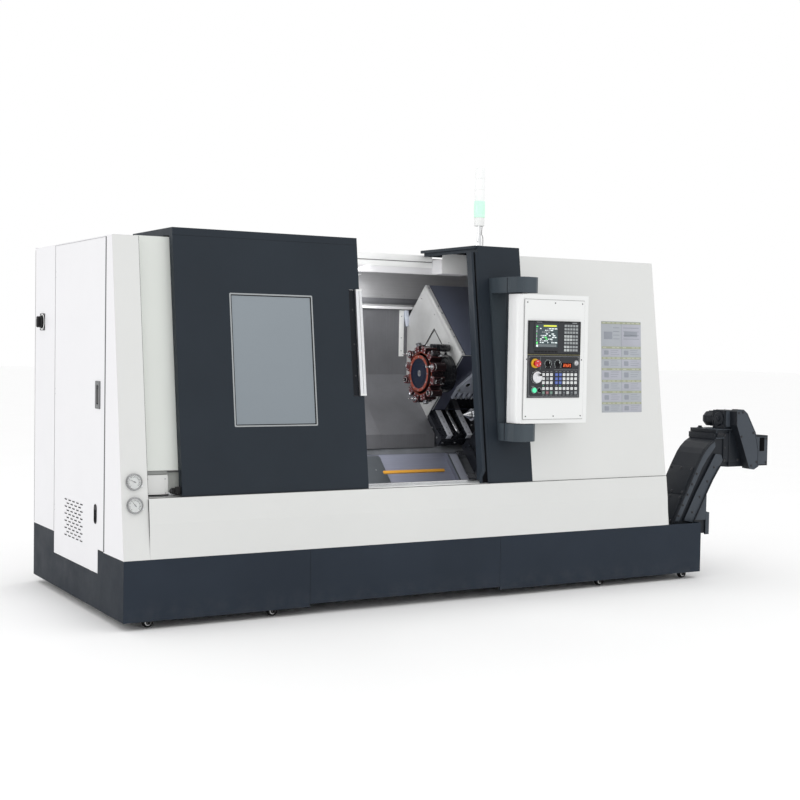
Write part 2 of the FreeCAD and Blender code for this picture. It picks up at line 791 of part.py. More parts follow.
piece(
    group(
        "way_covers_fixed",
        way_cover("way_cover_lf", wall_x0 + 1, 1480.0, 0),
        way_cover("way_cover_rf", 2655.0, 3362.0, 0),
    )
)
piece(way_cover("way_cover_middle", 1450.0, 1870.0, 1))
piece(
    group(
        "way_covers_carriage",
        way_cover("way_cover_lc", 1840.0, carriage_x0 - 0.5, 2),
        way_cover("way_cover_rc", carriage_x1 + 0.5, 3312.0, 2),
    )
)

# ------------------------------------------------------------ spindle, chuck
piece(
    turned(
        "spindle_shaft",
        [
            (0.0, bore_r),
            (682.0, bore_r),
            (682.0, 110.0),
            (628.0, 110.0),
            (628.0, 70.0),
            (500.0, 70.0),
            (500.0, 86.0),
            (170.0, 86.0),
            (170.0, 70.0),
            (0.0, 70.0),
        ],
        380.0,
        spindle_y,
        spindle_z,
    )
)
piece(
    turned(
        "chuck_body",
        [
            (0.0, bore_r),
            (106.0, bore_r),
            (106.0, chuck_r - 6),
            (100.0, chuck_r),
            (12.0, chuck_r),
            (0.0, chuck_r - 12),
        ],
        1062.3,
        spindle_y,
        spindle_z,
    )
)


def spoke_box(name, cx, cy, cz, x0, x1, half, r0, r1, ang):
    """A box that stands out radially from an axis along x at (cy, cz)."""
    o = doc.addObject("Part::Box", name)
    bind(o, "Length", x1 - x0)
    o.Width = 2 * half
    bind(o, "Height", r1 - r0)
    a = math.radians(ang)
    y = cy + (-half * math.cos(a) - num(r0) * math.sin(a))
    z = cz + (-half * math.sin(a) + num(r0) * math.cos(a))
    place(o, x0 if isinstance(x0, Dim) else cx + x0, y, z, (1, 0, 0), ang)
    return o


# Jaws: stepped blocks on the chuck's face, one every 120 degrees.
for i in range(3):
    ang = 120.0 * i
    j0 = spoke_box("jaw_base_%d" % i, 0.0, 500.0, 980.0, 1168.7, 1192.0, 20.0, 52.0, 140.0, ang)
    j1 = spoke_box("jaw_step_%d" % i, 0.0, 500.0, 980.0, 1191.0, 1214.0, 20.0, 84.0, 140.0, ang)
    piece(fuse("chuck_jaw_%d" % (i + 1), j0, j1))

# ----------------------------------------------------------------- carriage
saddle_slab = sbox("saddle_slab", carriage_x0 + 4, carriage_x1 - 4, 1138.0, 1935.0, -44.5, 14.0)
x_rail_a = sbox("x_rail_a", 2288.0, 2324.0, 1146.0, 1900.0, 13.0, 44.0)
x_rail_b = sbox("x_rail_b", 2430.0, 2466.0, 1146.0, 1900.0, 13.0, 44.0)
piece(fuse("carriage_saddle", saddle_slab, x_rail_a, x_rail_b))

# Carriage cover: side plate with the turret's slot, top sheet, right plate.
cover_left = prism(
    "cover_left",
    [
        (plate_p0, -44.0),
        (plate_p1, -44.0),
        (plate_p1, plate_q1),
        (plate_p0, plate_q1),
        (plate_p0, 417.0),
        (1679.0, 417.0),
        (1679.0, 262.0),
        (plate_p0, 262.0),
    ],
    carriage_x0,
    carriage_x0 + 4,
    dz=200.0,
    slant=True,
)
cover_right = sbox("cover_right", carriage_x1 - 4, carriage_x1, plate_p0, plate_p1, -44.0, plate_q1)
cover_face = sbox("cover_face", carriage_x0, carriage_x1, plate_p0, plate_p1, plate_q1 - 4, plate_q1)
cover_end = sbox("cover_end", carriage_x0, carriage_x1, plate_p1 - 4, plate_p1, -44.0, plate_q1)
piece(fuse("carriage_cover", cover_left, cover_right, cover_face, cover_end))

# Turret slide: casting that runs down the saddle's rails and carries the
# turret's housing through the slot in the carriage cover.
ts_slab = sbox("ts_slab", 2270.0, 2580.0, 1352.0, 1640.0, 46.0, 112.0)
ts_tower = sbox("ts_tower", 2270.0, 2540.0, 1352.0, 1520.0, 111.0, 430.0)
ts_neck = sbox("ts_neck", 2240.0, 2271.0, 1352.0, 1446.0, 271.0, 408.0)
ty0, tz0 = (1379.0 - 339.411) * 0.70710678, (1379.0 + 339.411) * 0.70710678
ts_house = cyl("ts_house", 112, 100, 2145.0, ty0, tz0, "x")
ts_bore = cyl("ts_bore", 45.06, 60, 2140.0, ty0, tz0, "x")
piece(cut("turret_slide", fuse("ts_raw", ts_slab, ts_tower, ts_neck, ts_house), ts_bore))

# Moving end cover of the slide: a folded pan inside the carriage cover.
ec_face = sbox("ec_face", 2258.0, 2592.0, 1345.0, 1348.0, 50.0, 519.0)
ec_top = sbox("ec_top", 2258.0, 2592.0, 1345.0, 1660.0, 516.0, 519.0)
ec_right = sbox("ec_right", 2589.0, 2592.0, 1345.0, 1660.0, 50.0, 519.0)
piece(fuse("cross_slide_cover", ec_face, ec_top, ec_right))

# ------------------------------------------------------------------- turret
disc_main = doc.addObject("Part::Prism", "disc_main")
disc_main.Polygon = 12
bind(disc_main, "Circumradius", disc_flat / math.cos(math.radians(15)))
disc_main.Height = 78
place(disc_main, disc_x0 + 12, ty0, tz0, (0, 1, 0), 90.0)
disc_ring = cyl("disc_ring", 108, 13, disc_x0, ty0, tz0, "x")
disc_hub = cyl("disc_hub", 45, 56, disc_x0 + 89, ty0, tz0, "x")
disc_dish = cyl("disc_dish", 90, 6, disc_x0 - 1, ty0, tz0, "x")
piece(cut("turret_disc", fuse("disc_raw", disc_main, disc_ring, disc_hub), disc_dish))

holders = []
for i in range(12):
    ang = 30.0 * i + 15.0
    blk = spoke_box("holder_block_%d" % i, 0.0, ty0, tz0, 2058.0, 2136.0, 25.0, 126.0, 160.0, ang)
    if i % 2:
        bit = spoke_box("tool_shank_%d" % i, 0.0, ty0, tz0, 2066.0, 2088.0, 11.0, 159.0, 184.0, ang)
        holders.append(fuse("holder_%d" % i, blk, bit))
    else:
        a = math.radians(ang)
        long_ = 122.0 if i == 0 else 84.0
        tube = cyl(
            "tool_tube_%d" % i,
            22,
            long_,
            2050.0 + (60.0 if i == 0 else 0.0),
            ty0 - 158.0 * math.sin(a),
            tz0 + 158.0 * math.cos(a),
            "x",
        )
        holders.append(fuse("holder_%d" % i, blk, tube))
piece(group("tool_holders", *holders))

# ---------------------------------------------------------------- tailstock
tb_foot = sbox("tb_foot", 2420.0, 2820.0, 866.0, 1120.0, -44.5, 30.0)
tb_column = sbox("tb_column", 2440.0, 2800.0, 968.0, 1119.0, 29.0, 340.0)
tb_barrel = cyl("tb_barrel", 74, 420, 2400.0, spindle_y, spindle_z, "x")
tb_bore = cyl("tb_bore", 45.06, 440, 2390.0, spindle_y, spindle_z, "x")
piece(cut("tailstock_body", fuse("tb_raw", tb_foot, tb_column, tb_barrel), tb_bore))
q_out = cyl("quill_out", 45, 380, 2330.0, spindle_y, spindle_z, "x")
q_in = cyl("quill_in", 20.06, 110, 2329.0, spindle_y, spindle_z, "x")
piece(cut("tailstock_quill", q_out, q_in))
piece(
    turned(
        "live_centre",
        [
            (0.0, 0.0),
            (46.0, 26.0),
            (60.0, 26.0),
            (60.0, 36.0),
            (112.0, 36.0),
            (112.0, 20.0),
            (205.0, 20.0),
            (205.0, 0.0),
        ],
        tip_x,
        spindle_y,
        spindle_z,
    )
)

# ------------------------------------------------------------- control unit
# Arm: C-shaped bracket, a plan outline trimmed to the leaning post.
arm_plan = tall_prism(
    "arm_plan",
    [(2172.0, 230.0), (2172.0, -20.0), (2184.0, -62.0), (2216.0, -84.0), (2298.0, -84.0), (2326.0, -62.0), (2326.0, -30.0), (2300.0, 0.0), (2300.0, 230.0)],
    850.0,
    940.0,
    dy=300.0,
)
arm_side = prism(
    "arm_side",
    [
        (-100.0, 862.0),
        (fy(862.0), 862.0),
        (fy(1765.0), 1765.0),
        (-100.0, 1765.0),
        (-100.0, 1679.0),
        (fy(1679.0) - 16, 1679.0),
        (fy(958.0) - 16, 958.0),
        (-100.0, 958.0),
    ],
    2160.0,
    2340.0,
    dy=300.0,
)
piece(common("control_arm", arm_plan, arm_side))

# Housing of the control: folded box with rounded left edges and an opening
# in its front for the display and the operator panel.
cb_plan = [
    (2199.0, 20.0),
    (2199.0, -45.0),
    (2204.0, -64.0),
    (2219.0, -79.0),
    (2239.0, -85.0),
    (2662.0, -85.0),
    (2662.0, 60.0),
    (2239.0, 60.0),
    (2219.0, 54.0),
    (2204.0, 39.0),
]
cb_in = [
    (2202.0, 19.6),
    (2202.0, -44.6),
    (2206.7, -62.4),
    (2220.6, -76.3),
    (2239.4, -82.0),
    (2659.0, -82.0),
    (2659.0, 57.0),
    (2239.4, 57.0),
    (2220.6, 51.3),
    (2206.7, 37.4),
]
cb_out = tall_prism("cb_outer", cb_plan, box_z0, box_z1 - box_z0, dy=300.0)
cb_void = tall_prism("cb_void", cb_in, box_z0 + 3, box_z1 - box_z0 - 6, dy=300.0)
cb_front = box("cb_front", 2225.0, 2633.0, -88.0, -84.0, 986.0, 1643.0)
cb_hole = box("cb_hole", 2260.0, 2592.0, -95.0, -70.0, 1114.0, 1516.0)
pin_a = cyl("cb_pin_a", 17, 40, pivot_x, pivot_y, box_z1 - 1)
pin_b = cyl("cb_pin_b", 17, 40, pivot_x, pivot_y, box_z0 - 39)
cb_raw = fuse("cb_raw", cut("cb_shell", cb_out, cb_void), cb_front, pin_a, pin_b)
piece(cut("control_box", cb_raw, cb_hole))

# The arm is bored for the pivot pins.
arm_solid = shapes.pop("control_arm")
arm_solid.Label = "control_arm_solid"
arm_bore_a = cyl("arm_bore_a", 17.08, 60, pivot_x, pivot_y, 1670.0)
arm_bore_b = cyl("arm_bore_b", 17.08, 60, pivot_x, pivot_y, 905.0)
piece(cut("control_arm_bored", arm_solid, fuse("arm_bores", arm_bore_a, arm_bore_b)), "control_arm")

du_bezel = box("du_bezel", 2246.0, 2603.0, -95.0, -88.0, 1342.5, 1527.5)
du_body = box("du_body", 2264.0, 2588.0, -89.0, -20.0, 1350.0, 1512.0)
piece(fuse("display_unit", du_bezel, du_body))

op_plate = box("op_plate", 2246.5, 2604.0, -92.0, -88.0, 1104.0, 1340.5)
op_body = box("op_body", 2264.0, 2588.0, -89.0, -84.0, 1118.0, 1340.0)
op_holes = fuse(
    "op_holes",
    cyl("op_h_estop", 11.3, 30, 2294.5, -75.0, 1293.0, "-y"),
    cyl("op_h_start", 11.3, 30, 2290.6, -75.0, 1145.6, "-y"),
    cyl("op_h_feed", 4.06, 30, 2384.0, -75.0, 1290.5, "-y"),
    cyl("op_h_speed", 4.06, 30, 2450.8, -75.0, 1291.0, "-y"),
    cyl("op_h_wheel", 7.06, 30, 2305.4, -75.0, 1217.5, "-y"),
    cyl("op_h_key", 7.06, 30, 2578.5, -75.0, 1296.8, "-y"),
    cyl("op_h_mode", 4.06, 30, 2328.6, -75.0, 1145.5, "-y"),
)
piece(cut("operator_panel", fuse("op_raw", op_plate, op_body), op_holes))

# Emergency stop: mushroom head on a stem through the panel.
piece(
    fuse(
        "estop_button",
        cyl("es_stem", 11, 34, 2294.5, -80.0, 1293.0, "-y"),
        cone("es_head", 15, 20, 6, 2294.5, -113.0, 1293.0, "-y"),
        cyl("es_cap", 20, 8, 2294.5, -118.9, 1293.0, "-y"),
    )
)
piece(
    fuse(
        "start_button",
        cyl("sb_stem", 11, 14, 2290.6, -80.0, 1145.6, "-y"),
        cyl("sb_cap", 14, 7, 2290.6, -93.9 - 3.0, 1145.6, "-y"),
        cyl("sb_neck", 10, 10, 2290.6, -90.0, 1145.6, "-y"),
    )
)


def selector(name, x, z, r, h, stem):
    body = cyl(name + "_skirt", r, h, x, -92.6, z, "-y")
    bar_ = box(name + "_bar", x - r * 0.32, x + r * 0.32, -92.6 - h - 9, -92.6 - h + 1, z - r * 0.95, z + r * 0.95)
    stem_ = cyl(name + "_stem", stem, 14, x, -80.0, z, "-y")
    return piece(fuse(name, body, bar_, stem_))


selector("feed_override_knob", 2384.0, 1290.5, 15.0, 6.0, 4)
selector("spindle_override_knob", 2450.8, 1291.0, 15.0, 6.0, 4)
selector("mode_switch", 2328.6, 1145.5, 12.0, 5.0, 4)
selector("key_switch", 2578.5, 1296.8, 12.0, 4.0, 7)

hw_disc = cyl("hw_disc", 31, 9, 2305.4, -99.0, 1217.5, "-y")
hw_hub = cyl("hw_hub", 20, 7.5, 2305.4, -92.6, 1217.5, "-y")
hw_stem = cyl("hw_stem", 7, 20, 2305.4, -80.0, 1217.5, "-y")
hw_knob = cyl("hw_knob", 6, 16, 2322.0, -107.0, 1230.0, "-y")
piece(fuse("handwheel", hw_disc, hw_hub, hw_stem, hw_knob))

# ------------------------------------------------------------- signal tower
st_x, st_y = 2146.0, 262.0
piece(
    fuse(
        "signal_tower",
        cyl("st_flange", 24, 6, st_x, st_y, door_z1),
        cyl("st_nut", 15, 22, st_x, st_y, door_z1),
        cone("st_stem", 13, 9, 92, st_x, st_y, door_z1 + 21),
        cyl("st_base", 29, 50, st_x, st_y, door_z1 + 112),
        cyl("st_green", 31, 91, st_x, st_y, door_z1 + 161),
        cyl("st_clear", 28, 185, st_x, st_y, door_z1 + 251),
    )
)

# ------------------------------------------------------------ chip conveyor
casing_out = [
    (1100.0, 84.0),
    (3430.0, 84.0),
    (3520.0, 164.0),
    (3614.0, 320.0),
    (3728.0, 520.0),
    (3770.0, 589.0),
    (3826.0, 666.0),
    (3905.0, 660.0),
    (4240.0, 660.0),
    (4240.0, 850.0),
    (4135.0, 856.0),
    (4108.0, 890.0),
    (3803.0, 890.0),
    (3803.0, 869.0),
    (3786.0, 869.0),
    (3786.0, 833.0),
    (3745.0, 810.0),
    (3709.0, 778.0),
    (3684.0, 747.0),
    (3639.0, 672.0),
    (3456.0, 325.0),
    (3400.0, 232.0),
    (1100.0, 232.0),
]
casing_in = [
    (1103.0, 87.0),
    (3428.8, 87.0),
    (3517.6, 166.0),
    (3611.4, 321.6),
    (3725.4, 521.5),
    (3767.5, 590.7),
    (3824.6, 669.1),
    (3905.2, 663.0),
    (4070.0, 663.0),
    (4070.0, 650.0),
    (4237.0, 650.0),
    (4237.0, 847.1),
    (4133.5, 853.1),
    (4106.5, 887.0),
    (3806.0, 887.0),
    (3806.0, 866.0),
    (3789.0, 866.0),
    (3789.0, 831.2),
    (3746.8, 807.5),
    (3711.2, 775.9),
    (3686.5, 745.3),
    (3641.6, 670.5),
    (3458.6, 323.6),
    (3402.0, 228.0),
    (3402.0, 260.0),
    (1103.0, 260.0),
]
cas_o = wide_prism("casing_outer", casing_out, conv_y1, conv_y1 - conv_y0)
cas_i = wide_prism("casing_inner", casing_in, conv_y1 - 4, conv_y1 - conv_y0 - 8)
foot_o = wide_prism(
    "conveyor_foot",
    [(3622.5, 338.0), (3726.7, 520.75), (3733.0, 531.1), (3733.0, 392.0), (3757.0, 384.0), (3757.0, 250.0), (3727.0, 250.0), (3727.0, 338.0)],
    conv_y0 + 5,
    5.0,
)
cas_hole = cyl("casing_hole", 24, 60, 4040.0, conv_y0 - 10, 780.0, "y")
piece(cut("conveyor_frame", fuse("casing_raw", cut("casing", cas_o, cas_i), foot_o), cas_hole))

guard_o = wide_prism(
    "guard_outer",
    [
        (3914.0, 1006.0),
        (3932.0, 1019.0),
        (3969.0, 1018.0),
        (4002.0, 994.0),
        (4076.0, 874.0),
        (4106.0, 760.0),
        (4106.0, 662.0),
        (4069.0, 643.0),
        (4028.0, 650.0),
        (3916.0, 920.0),
    ],
    conv_y0 - 0.4,
    58.0,
)
guard_i = wide_prism(
    "guard_inner",
    [
        (3920.0, 1003.0),
        (3934.0, 1013.0),
        (3967.0, 1012.0),
        (3997.0, 990.0),
        (4070.0, 872.0),
        (4100.0, 759.0),
        (4100.0, 666.0),
        (4068.0, 649.4),
        (4032.0, 655.4),
        (3922.0, 921.5),
    ],
    conv_y0 + 4,
    58.0,
)
piece(cut("conveyor_chain_guard", guard_o, guard_i))

gm_box = box("gm_box", 3880.0, 3984.0, 86.0, 196.0, 890.0, 1008.0)
gm_motor = cyl("gm_motor", 44, 90, 3932.0, 195.0, 951.0, "y")
gm_cap = cyl("gm_cap", 38, 14, 3932.0, 284.0, 951.0, "y")
piece(fuse("conveyor_gearmotor", gm_box, gm_motor, gm_cap))

cs_shaft = cyl("cs_shaft", 20, 250, 4040.0, conv_y0 - 38, 780.0, "y")
cs_spr_a = cyl("cs_spr_a", 66, 14, 4040.0, conv_y0 + 24, 780.0, "y")
cs_spr_b = cyl("cs_spr_b", 66, 14, 4040.0, conv_y1 - 38, 780.0, "y")
cs_drive = cyl("cs_drive", 38, 12, 4040.0, conv_y0 - 34, 780.0, "y")
piece(fuse("conveyor_shaft", cs_shaft, cs_spr_a, cs_spr_b, cs_drive))

# ------------------------------------------------------------------- export
doc.recompute()
faults = []
for o in doc.Objects:
    if "Invalid" in o.State or "Error" in o.State:
        faults.append("%s %s" % (o.Name, o.State))
for node, o in shapes.items():
    if o.Shape.isNull() or not o.Shape.isValid() or not o.Shape.Solids:
        faults.append("%s has no valid shape" % node)
for body, pk in hollows:
    solid = doc.getObject(body.Name + "_pad").Shape.Volume
    if pk.Shape.Volume > 0.9 * solid:
        faults.append("%s cuts nothing" % pk.Name)
if bed.Shape.Volume > 0.35 * cores_solid:
    faults.append("the bed's cores cut nothing")
if faults:
    raise SystemExit("\n".join(faults))
if len(shapes) > 60:
    raise SystemExit("%d nodes" % len(shapes))
for node, o in shapes.items():
    o.Shape.exportStep("parts/%s.step" % node)
whole = Part.makeCompound([o.Shape for o in shapes.values()])
bb = whole.BoundBox
print(len(shapes), "nodes")
print("box", [round(v, 2) for v in (bb.XMin, bb.XMax, bb.YMin, bb.YMax, bb.ZMin, bb.ZMax)])
print("volume litres", round(whole.Volume / 1e6, 1))
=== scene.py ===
import math
import random

import bmesh
import bpy
from mathutils import Matrix, Vector


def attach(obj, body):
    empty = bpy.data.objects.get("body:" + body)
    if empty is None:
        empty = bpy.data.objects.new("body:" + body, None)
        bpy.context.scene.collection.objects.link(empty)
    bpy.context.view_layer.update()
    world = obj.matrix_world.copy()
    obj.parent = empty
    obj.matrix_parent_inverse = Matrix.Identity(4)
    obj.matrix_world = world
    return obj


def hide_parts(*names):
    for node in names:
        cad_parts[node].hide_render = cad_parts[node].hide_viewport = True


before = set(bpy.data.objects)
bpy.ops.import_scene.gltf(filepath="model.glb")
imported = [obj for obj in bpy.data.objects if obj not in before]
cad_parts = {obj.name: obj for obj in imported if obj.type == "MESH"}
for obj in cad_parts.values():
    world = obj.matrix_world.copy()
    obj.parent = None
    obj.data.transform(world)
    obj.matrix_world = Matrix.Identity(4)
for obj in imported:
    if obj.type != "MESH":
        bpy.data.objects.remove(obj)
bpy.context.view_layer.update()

# Machine frame in millimetres: x from the left face, y from the plinth's front
# to the back, z from the floor.  Pieces are drawn in it and moved at the end.
OX, OY = 2096.0, 714.55
LEAN = 0.13614
C = 0.70710678
rng = random.Random(7)


def fy(z):
    return (z - 336.5) * LEAN


# ------------------------------------------------------------------ materials
MATS = {}


def base_mat(name):
    m = bpy.data.materials.new(name)
    m.use_nodes = True
    nt = m.node_tree
    nt.nodes.clear()
    out = nt.nodes.new("ShaderNodeOutputMaterial")
    b = nt.nodes.new("ShaderNodeBsdfPrincipled")
    nt.links.new(b.outputs[0], out.inputs[0])
    MATS[name] = m
    return m, nt, b


def coords(nt, scale=(1, 1, 1)):
    tc = nt.nodes.new("ShaderNodeTexCoord")
    mp = nt.nodes.new("ShaderNodeMapping")
    mp.inputs["Scale"].default_value = scale
    nt.links.new(tc.outputs["Object"], mp.inputs["Vector"])
    return mp.outputs["Vector"]


def noise(nt, vec, scale, detail=3.0, rough=0.5):
    n = nt.nodes.new("ShaderNodeTexNoise")
    n.inputs["Scale"].default_value = scale
    n.inputs["Detail"].default_value = detail
    n.inputs["Roughness"].default_value = rough
    nt.links.new(vec, n.inputs["Vector"])
    return n.outputs["Fac"]


def ramp(nt, fac, stops):
    r = nt.nodes.new("ShaderNodeValToRGB")
    while len(r.color_ramp.elements) < len(stops):
        r.color_ramp.elements.new(0.5)
    for e, (p, c) in zip(r.color_ramp.elements, stops):
        e.position = p
        e.color = (*c, 1.0) if len(c) == 3 else c
    nt.links.new(fac, r.inputs["Fac"])
    return r.outputs["Color"]


def span(nt, fac, a, b, lo, hi):
    m = nt.nodes.new("ShaderNodeMapRange")
    m.inputs["From Min"].default_value = a
    m.inputs["From Max"].default_value = b
    m.inputs["To Min"].default_value = lo
    m.inputs["To Max"].default_value = hi
    nt.links.new(fac, m.inputs["Value"])
    return m.outputs["Result"]


def mixc(nt, fac, a, b, mode="MIX"):
    m = nt.nodes.new("ShaderNodeMix")
    m.data_type = "RGBA"
    m.blend_type = mode
    if hasattr(fac, "links"):
        nt.links.new(fac, m.inputs["Factor"])
    else:
        m.inputs["Factor"].default_value = fac
    for v, i in ((a, "A"), (b, "B")):
        s = [k for k in m.inputs if k.name == i and k.type == "RGBA"][0]
        if hasattr(v, "links"):
            nt.links.new(v, s)
        else:
            s.default_value = (*v, 1.0)
    return [k for k in m.outputs if k.type == "RGBA"][0]


def bumped(nt, b, fac, strength, dist, radius=0.0):
    bp = nt.nodes.new("ShaderNodeBump")
    bp.inputs["Strength"].default_value = strength
    bp.inputs["Distance"].default_value = dist
    nt.links.new(fac, bp.inputs["Height"])
    if radius:
        bv = nt.nodes.new("ShaderNodeBevel")
        bv.samples = 4
        bv.inputs["Radius"].default_value = radius
        nt.links.new(bv.outputs[0], bp.inputs["Normal"])
    nt.links.new(bp.outputs[0], b.inputs["Normal"])
    return bp


def edge_mask(nt, radius):
    """Near 1 along convex and concave edges, 0 on the flats."""
    bv = nt.nodes.new("ShaderNodeBevel")
    bv.samples = 4
    bv.inputs["Radius"].default_value = radius
    ge = nt.nodes.new("ShaderNodeNewGeometry")
    d = nt.nodes.new("ShaderNodeVectorMath")
    d.operation = "DOT_PRODUCT"
    nt.links.new(bv.outputs[0], d.inputs[0])
    nt.links.new(ge.outputs["Normal"], d.inputs[1])
    return span(nt, d.outputs["Value"], 1.0, 0.80, 0.0, 1.0)


def lighter(c, k):
    return tuple(min(1.0, v * k) for v in c)


def paint(name, rgb, rough=0.36, peel=0.05, vary=0.05, wear=0.25, worn=None, dust=0.0, coat=0.15, spec=0.45, side=None, x_shade_ramp=None):
    """Sheet metal paint: orange peel, faint cloudiness, softly worn edges, dust low down; an optional side colour is
    painted light and shade on faces that point towards -X, and an optional ramp along x is painted shade.
    """
    m, nt, b = base_mat(name)
    v = coords(nt)
    cloud = noise(nt, v, 2.3, 4.0)
    c = ramp(nt, cloud, [(0.3, lighter(rgb, 1 - vary)), (0.7, lighter(rgb, 1 + vary))])
    speck = noise(nt, v, 900.0, 1.0)
    c = mixc(nt, span(nt, speck, 0.60, 0.78, 0.0, 0.10), c, lighter(rgb, 1.35))
    em = edge_mask(nt, 0.003)
    wn = noise(nt, v, 26.0, 4.0)
    mul = nt.nodes.new("ShaderNodeMath")
    mul.operation = "MULTIPLY"
    nt.links.new(em, mul.inputs[0])
    nt.links.new(span(nt, wn, 0.40, 0.65, 0.15 * wear, wear), mul.inputs[1])
    c = mixc(nt, mul.outputs[0], c, worn or lighter(rgb, 1.9))
    if dust:
        ge = nt.nodes.new("ShaderNodeNewGeometry")
        sx = nt.nodes.new("ShaderNodeSeparateXYZ")
        nt.links.new(ge.outputs["Position"], sx.inputs[0])
        low = span(nt, sx.outputs["Z"], 0.16, 0.03, 0.0, 1.0)
        mu = nt.nodes.new("ShaderNodeMath")
        mu.operation = "MULTIPLY"
        nt.links.new(low, mu.inputs[0])
        nt.links.new(span(nt, noise(nt, v, 14.0, 6.0, 0.65), 0.42, 0.75, 0.0, dust), mu.inputs[1])
        c = mixc(nt, mu.outputs[0], c, (0.32, 0.31, 0.29))
    # Painted light and shade: faces that point towards -X take the side colour.
    if side:
        ge2 = nt.nodes.new("ShaderNodeNewGeometry")
        sn = nt.nodes.new("ShaderNodeSeparateXYZ")
        nt.links.new(ge2.outputs["Normal"], sn.inputs[0])
        c = mixc(nt, span(nt, sn.outputs["X"], -0.25, -0.6, 0.0, 1.0), c, side)
    # Painted shade: blends towards the given tone as object x falls from the second value to the first.
    if x_shade_ramp:
        so = nt.nodes.new("ShaderNodeSeparateXYZ")
        nt.links.new(v, so.inputs[0])
        c = mixc(nt, span(nt, so.outputs["X"], x_shade_ramp[1], x_shade_ramp[0], 0.0, 1.0), c, x_shade_ramp[2])
    nt.links.new(c, b.inputs["Base Color"])
    rn = noise(nt, v, 7.0, 5.0, 0.6)
    nt.links.new(span(nt, rn, 0.3, 0.7, rough - 0.05, rough + 0.06), b.inputs["Roughness"])
    b.inputs["Coat Weight"].default_value = coat
    b.inputs["Coat Roughness"].default_value = 0.28
    b.inputs["Specular IOR Level"].default_value = spec
    bumped(nt, b, noise(nt, v, 420.0, 2.0), peel, 0.0006, 0.0022)
    return m


def brushed(name, rgb, rough=0.3, scale=(3, 260, 260), smear=0.25, depth=0.12, metal=1.0, aniso=0.4):
    """Sheet or ground metal with grain along the low-frequency axis."""
    m, nt, b = base_mat(name)
    v = coords(nt, scale)
    grain = noise(nt, v, 1.0, 5.0, 0.7)
    v2 = coords(nt)
    cloud = noise(nt, v2, 2.6, 5.0, 0.6)
    c = ramp(nt, grain, [(0.25, lighter(rgb, 0.84)), (0.75, lighter(rgb, 1.12))])
    c = mixc(nt, span(nt, cloud, 0.38, 0.66, 0.0, smear), c, lighter(rgb, 0.62))
    nt.links.new(c, b.inputs["Base Color"])
    b.inputs["Metallic"].default_value = metal
    b.inputs["Anisotropic"].default_value = aniso
    a = span(nt, grain, 0.2, 0.8, rough - 0.07, rough + 0.09)
    s = nt.nodes.new("ShaderNodeMath")
    s.operation = "ADD"
    nt.links.new(a, s.inputs[0])
    nt.links.new(span(nt, cloud, 0.35, 0.7, -0.03, 0.10), s.inputs[1])
    nt.links.new(s.outputs[0], b.inputs["Roughness"])
    bumped(nt, b, grain, depth, 0.0004, 0.0012)
    return m


def plastic(name, rgb, rough=0.4, grain=0.06, scale=700.0, coat=0.0, emit=None, power=0.0, wear=0.0, spec=None):
    m, nt, b = base_mat(name)
    v = coords(nt)
    n = noise(nt, v, 5.0, 3.0)
    c = ramp(nt, n, [(0.3, lighter(rgb, 0.94)), (0.7, lighter(rgb, 1.06))])
    if wear:
        c = mixc(nt, span(nt, edge_mask(nt, 0.0015), 0.0, 1.0, 0.0, wear), c, lighter(rgb, 2.4))
    nt.links.new(c, b.inputs["Base Color"])
    nt.links.new(span(nt, noise(nt, v, 40.0, 3.0), 0.3, 0.7, rough - 0.04, rough + 0.05), b.inputs["Roughness"])
    b.inputs["Coat Weight"].default_value = coat
    if spec is not None:
        b.inputs["Specular IOR Level"].default_value = spec
    if emit:
        b.inputs["Emission Color"].default_value = (*emit, 1.0)
        b.inputs["Emission Strength"].default_value = power
    bumped(nt, b, noise(nt, v, scale, 1.0), grain, 0.0002, 0.0006)
    return m


def cast(name, rgb, rough=0.5, metal=0.0, bump=0.35):
    """Painted or bare casting: pitted skin and darker, oily patches."""
    m, nt, b = base_mat(name)
    v = coords(nt)
    big = noise(nt, v, 9.0, 6.0, 0.6)
    c = ramp(nt, big, [(0.32, lighter(rgb, 0.72)), (0.68, lighter(rgb, 1.18))])
    c = mixc(nt, span(nt, edge_mask(nt, 0.0025), 0.0, 1.0, 0.0, 0.35), c, lighter(rgb, 2.2))
    nt.links.new(c, b.inputs["Base Color"])
    b.inputs["Metallic"].default_value = metal
    nt.links.new(span(nt, big, 0.3, 0.7, rough - 0.14, rough + 0.1), b.inputs["Roughness"])
    bumped(nt, b, noise(nt, v, 160.0, 6.0, 0.6), bump, 0.0009, 0.0022)
    return m


# Two copies of the one white paint: the first darker as painted shade on front faces, with painted light on its -X
# faces; the second lighter as painted light for side, top and rear faces.
paint("white_front_shaded", (0.705, 0.712, 0.70), side=(0.765, 0.76, 0.78), rough=0.42, worn=(0.74, 0.74, 0.73), wear=0.3, vary=0.012, coat=0.05)
paint("white_side_lit", (0.765, 0.762, 0.78), rough=0.42, worn=(0.84, 0.84, 0.84), wear=0.3, vary=0.010, coat=0.05)
paint("white_green", (0.71, 0.735, 0.70), rough=0.42, worn=(0.8, 0.8, 0.78), wear=0.3, vary=0.012, coat=0.05)
paint("slate", (0.0165, 0.0235, 0.0325), rough=0.50, peel=0.09, vary=0.07, wear=0.35, worn=(0.06, 0.072, 0.09), coat=0.0, spec=0.22)
# Plinth paint: the side colour darkens faces that point towards -X as painted shade.
paint("slate_plinth", (0.0230, 0.0310, 0.0440), side=(0.0075, 0.0130, 0.0215), rough=0.50, peel=0.09, vary=0.08, wear=0.35, worn=(0.06, 0.07, 0.085), dust=0.06, coat=0.0, spec=0.12)
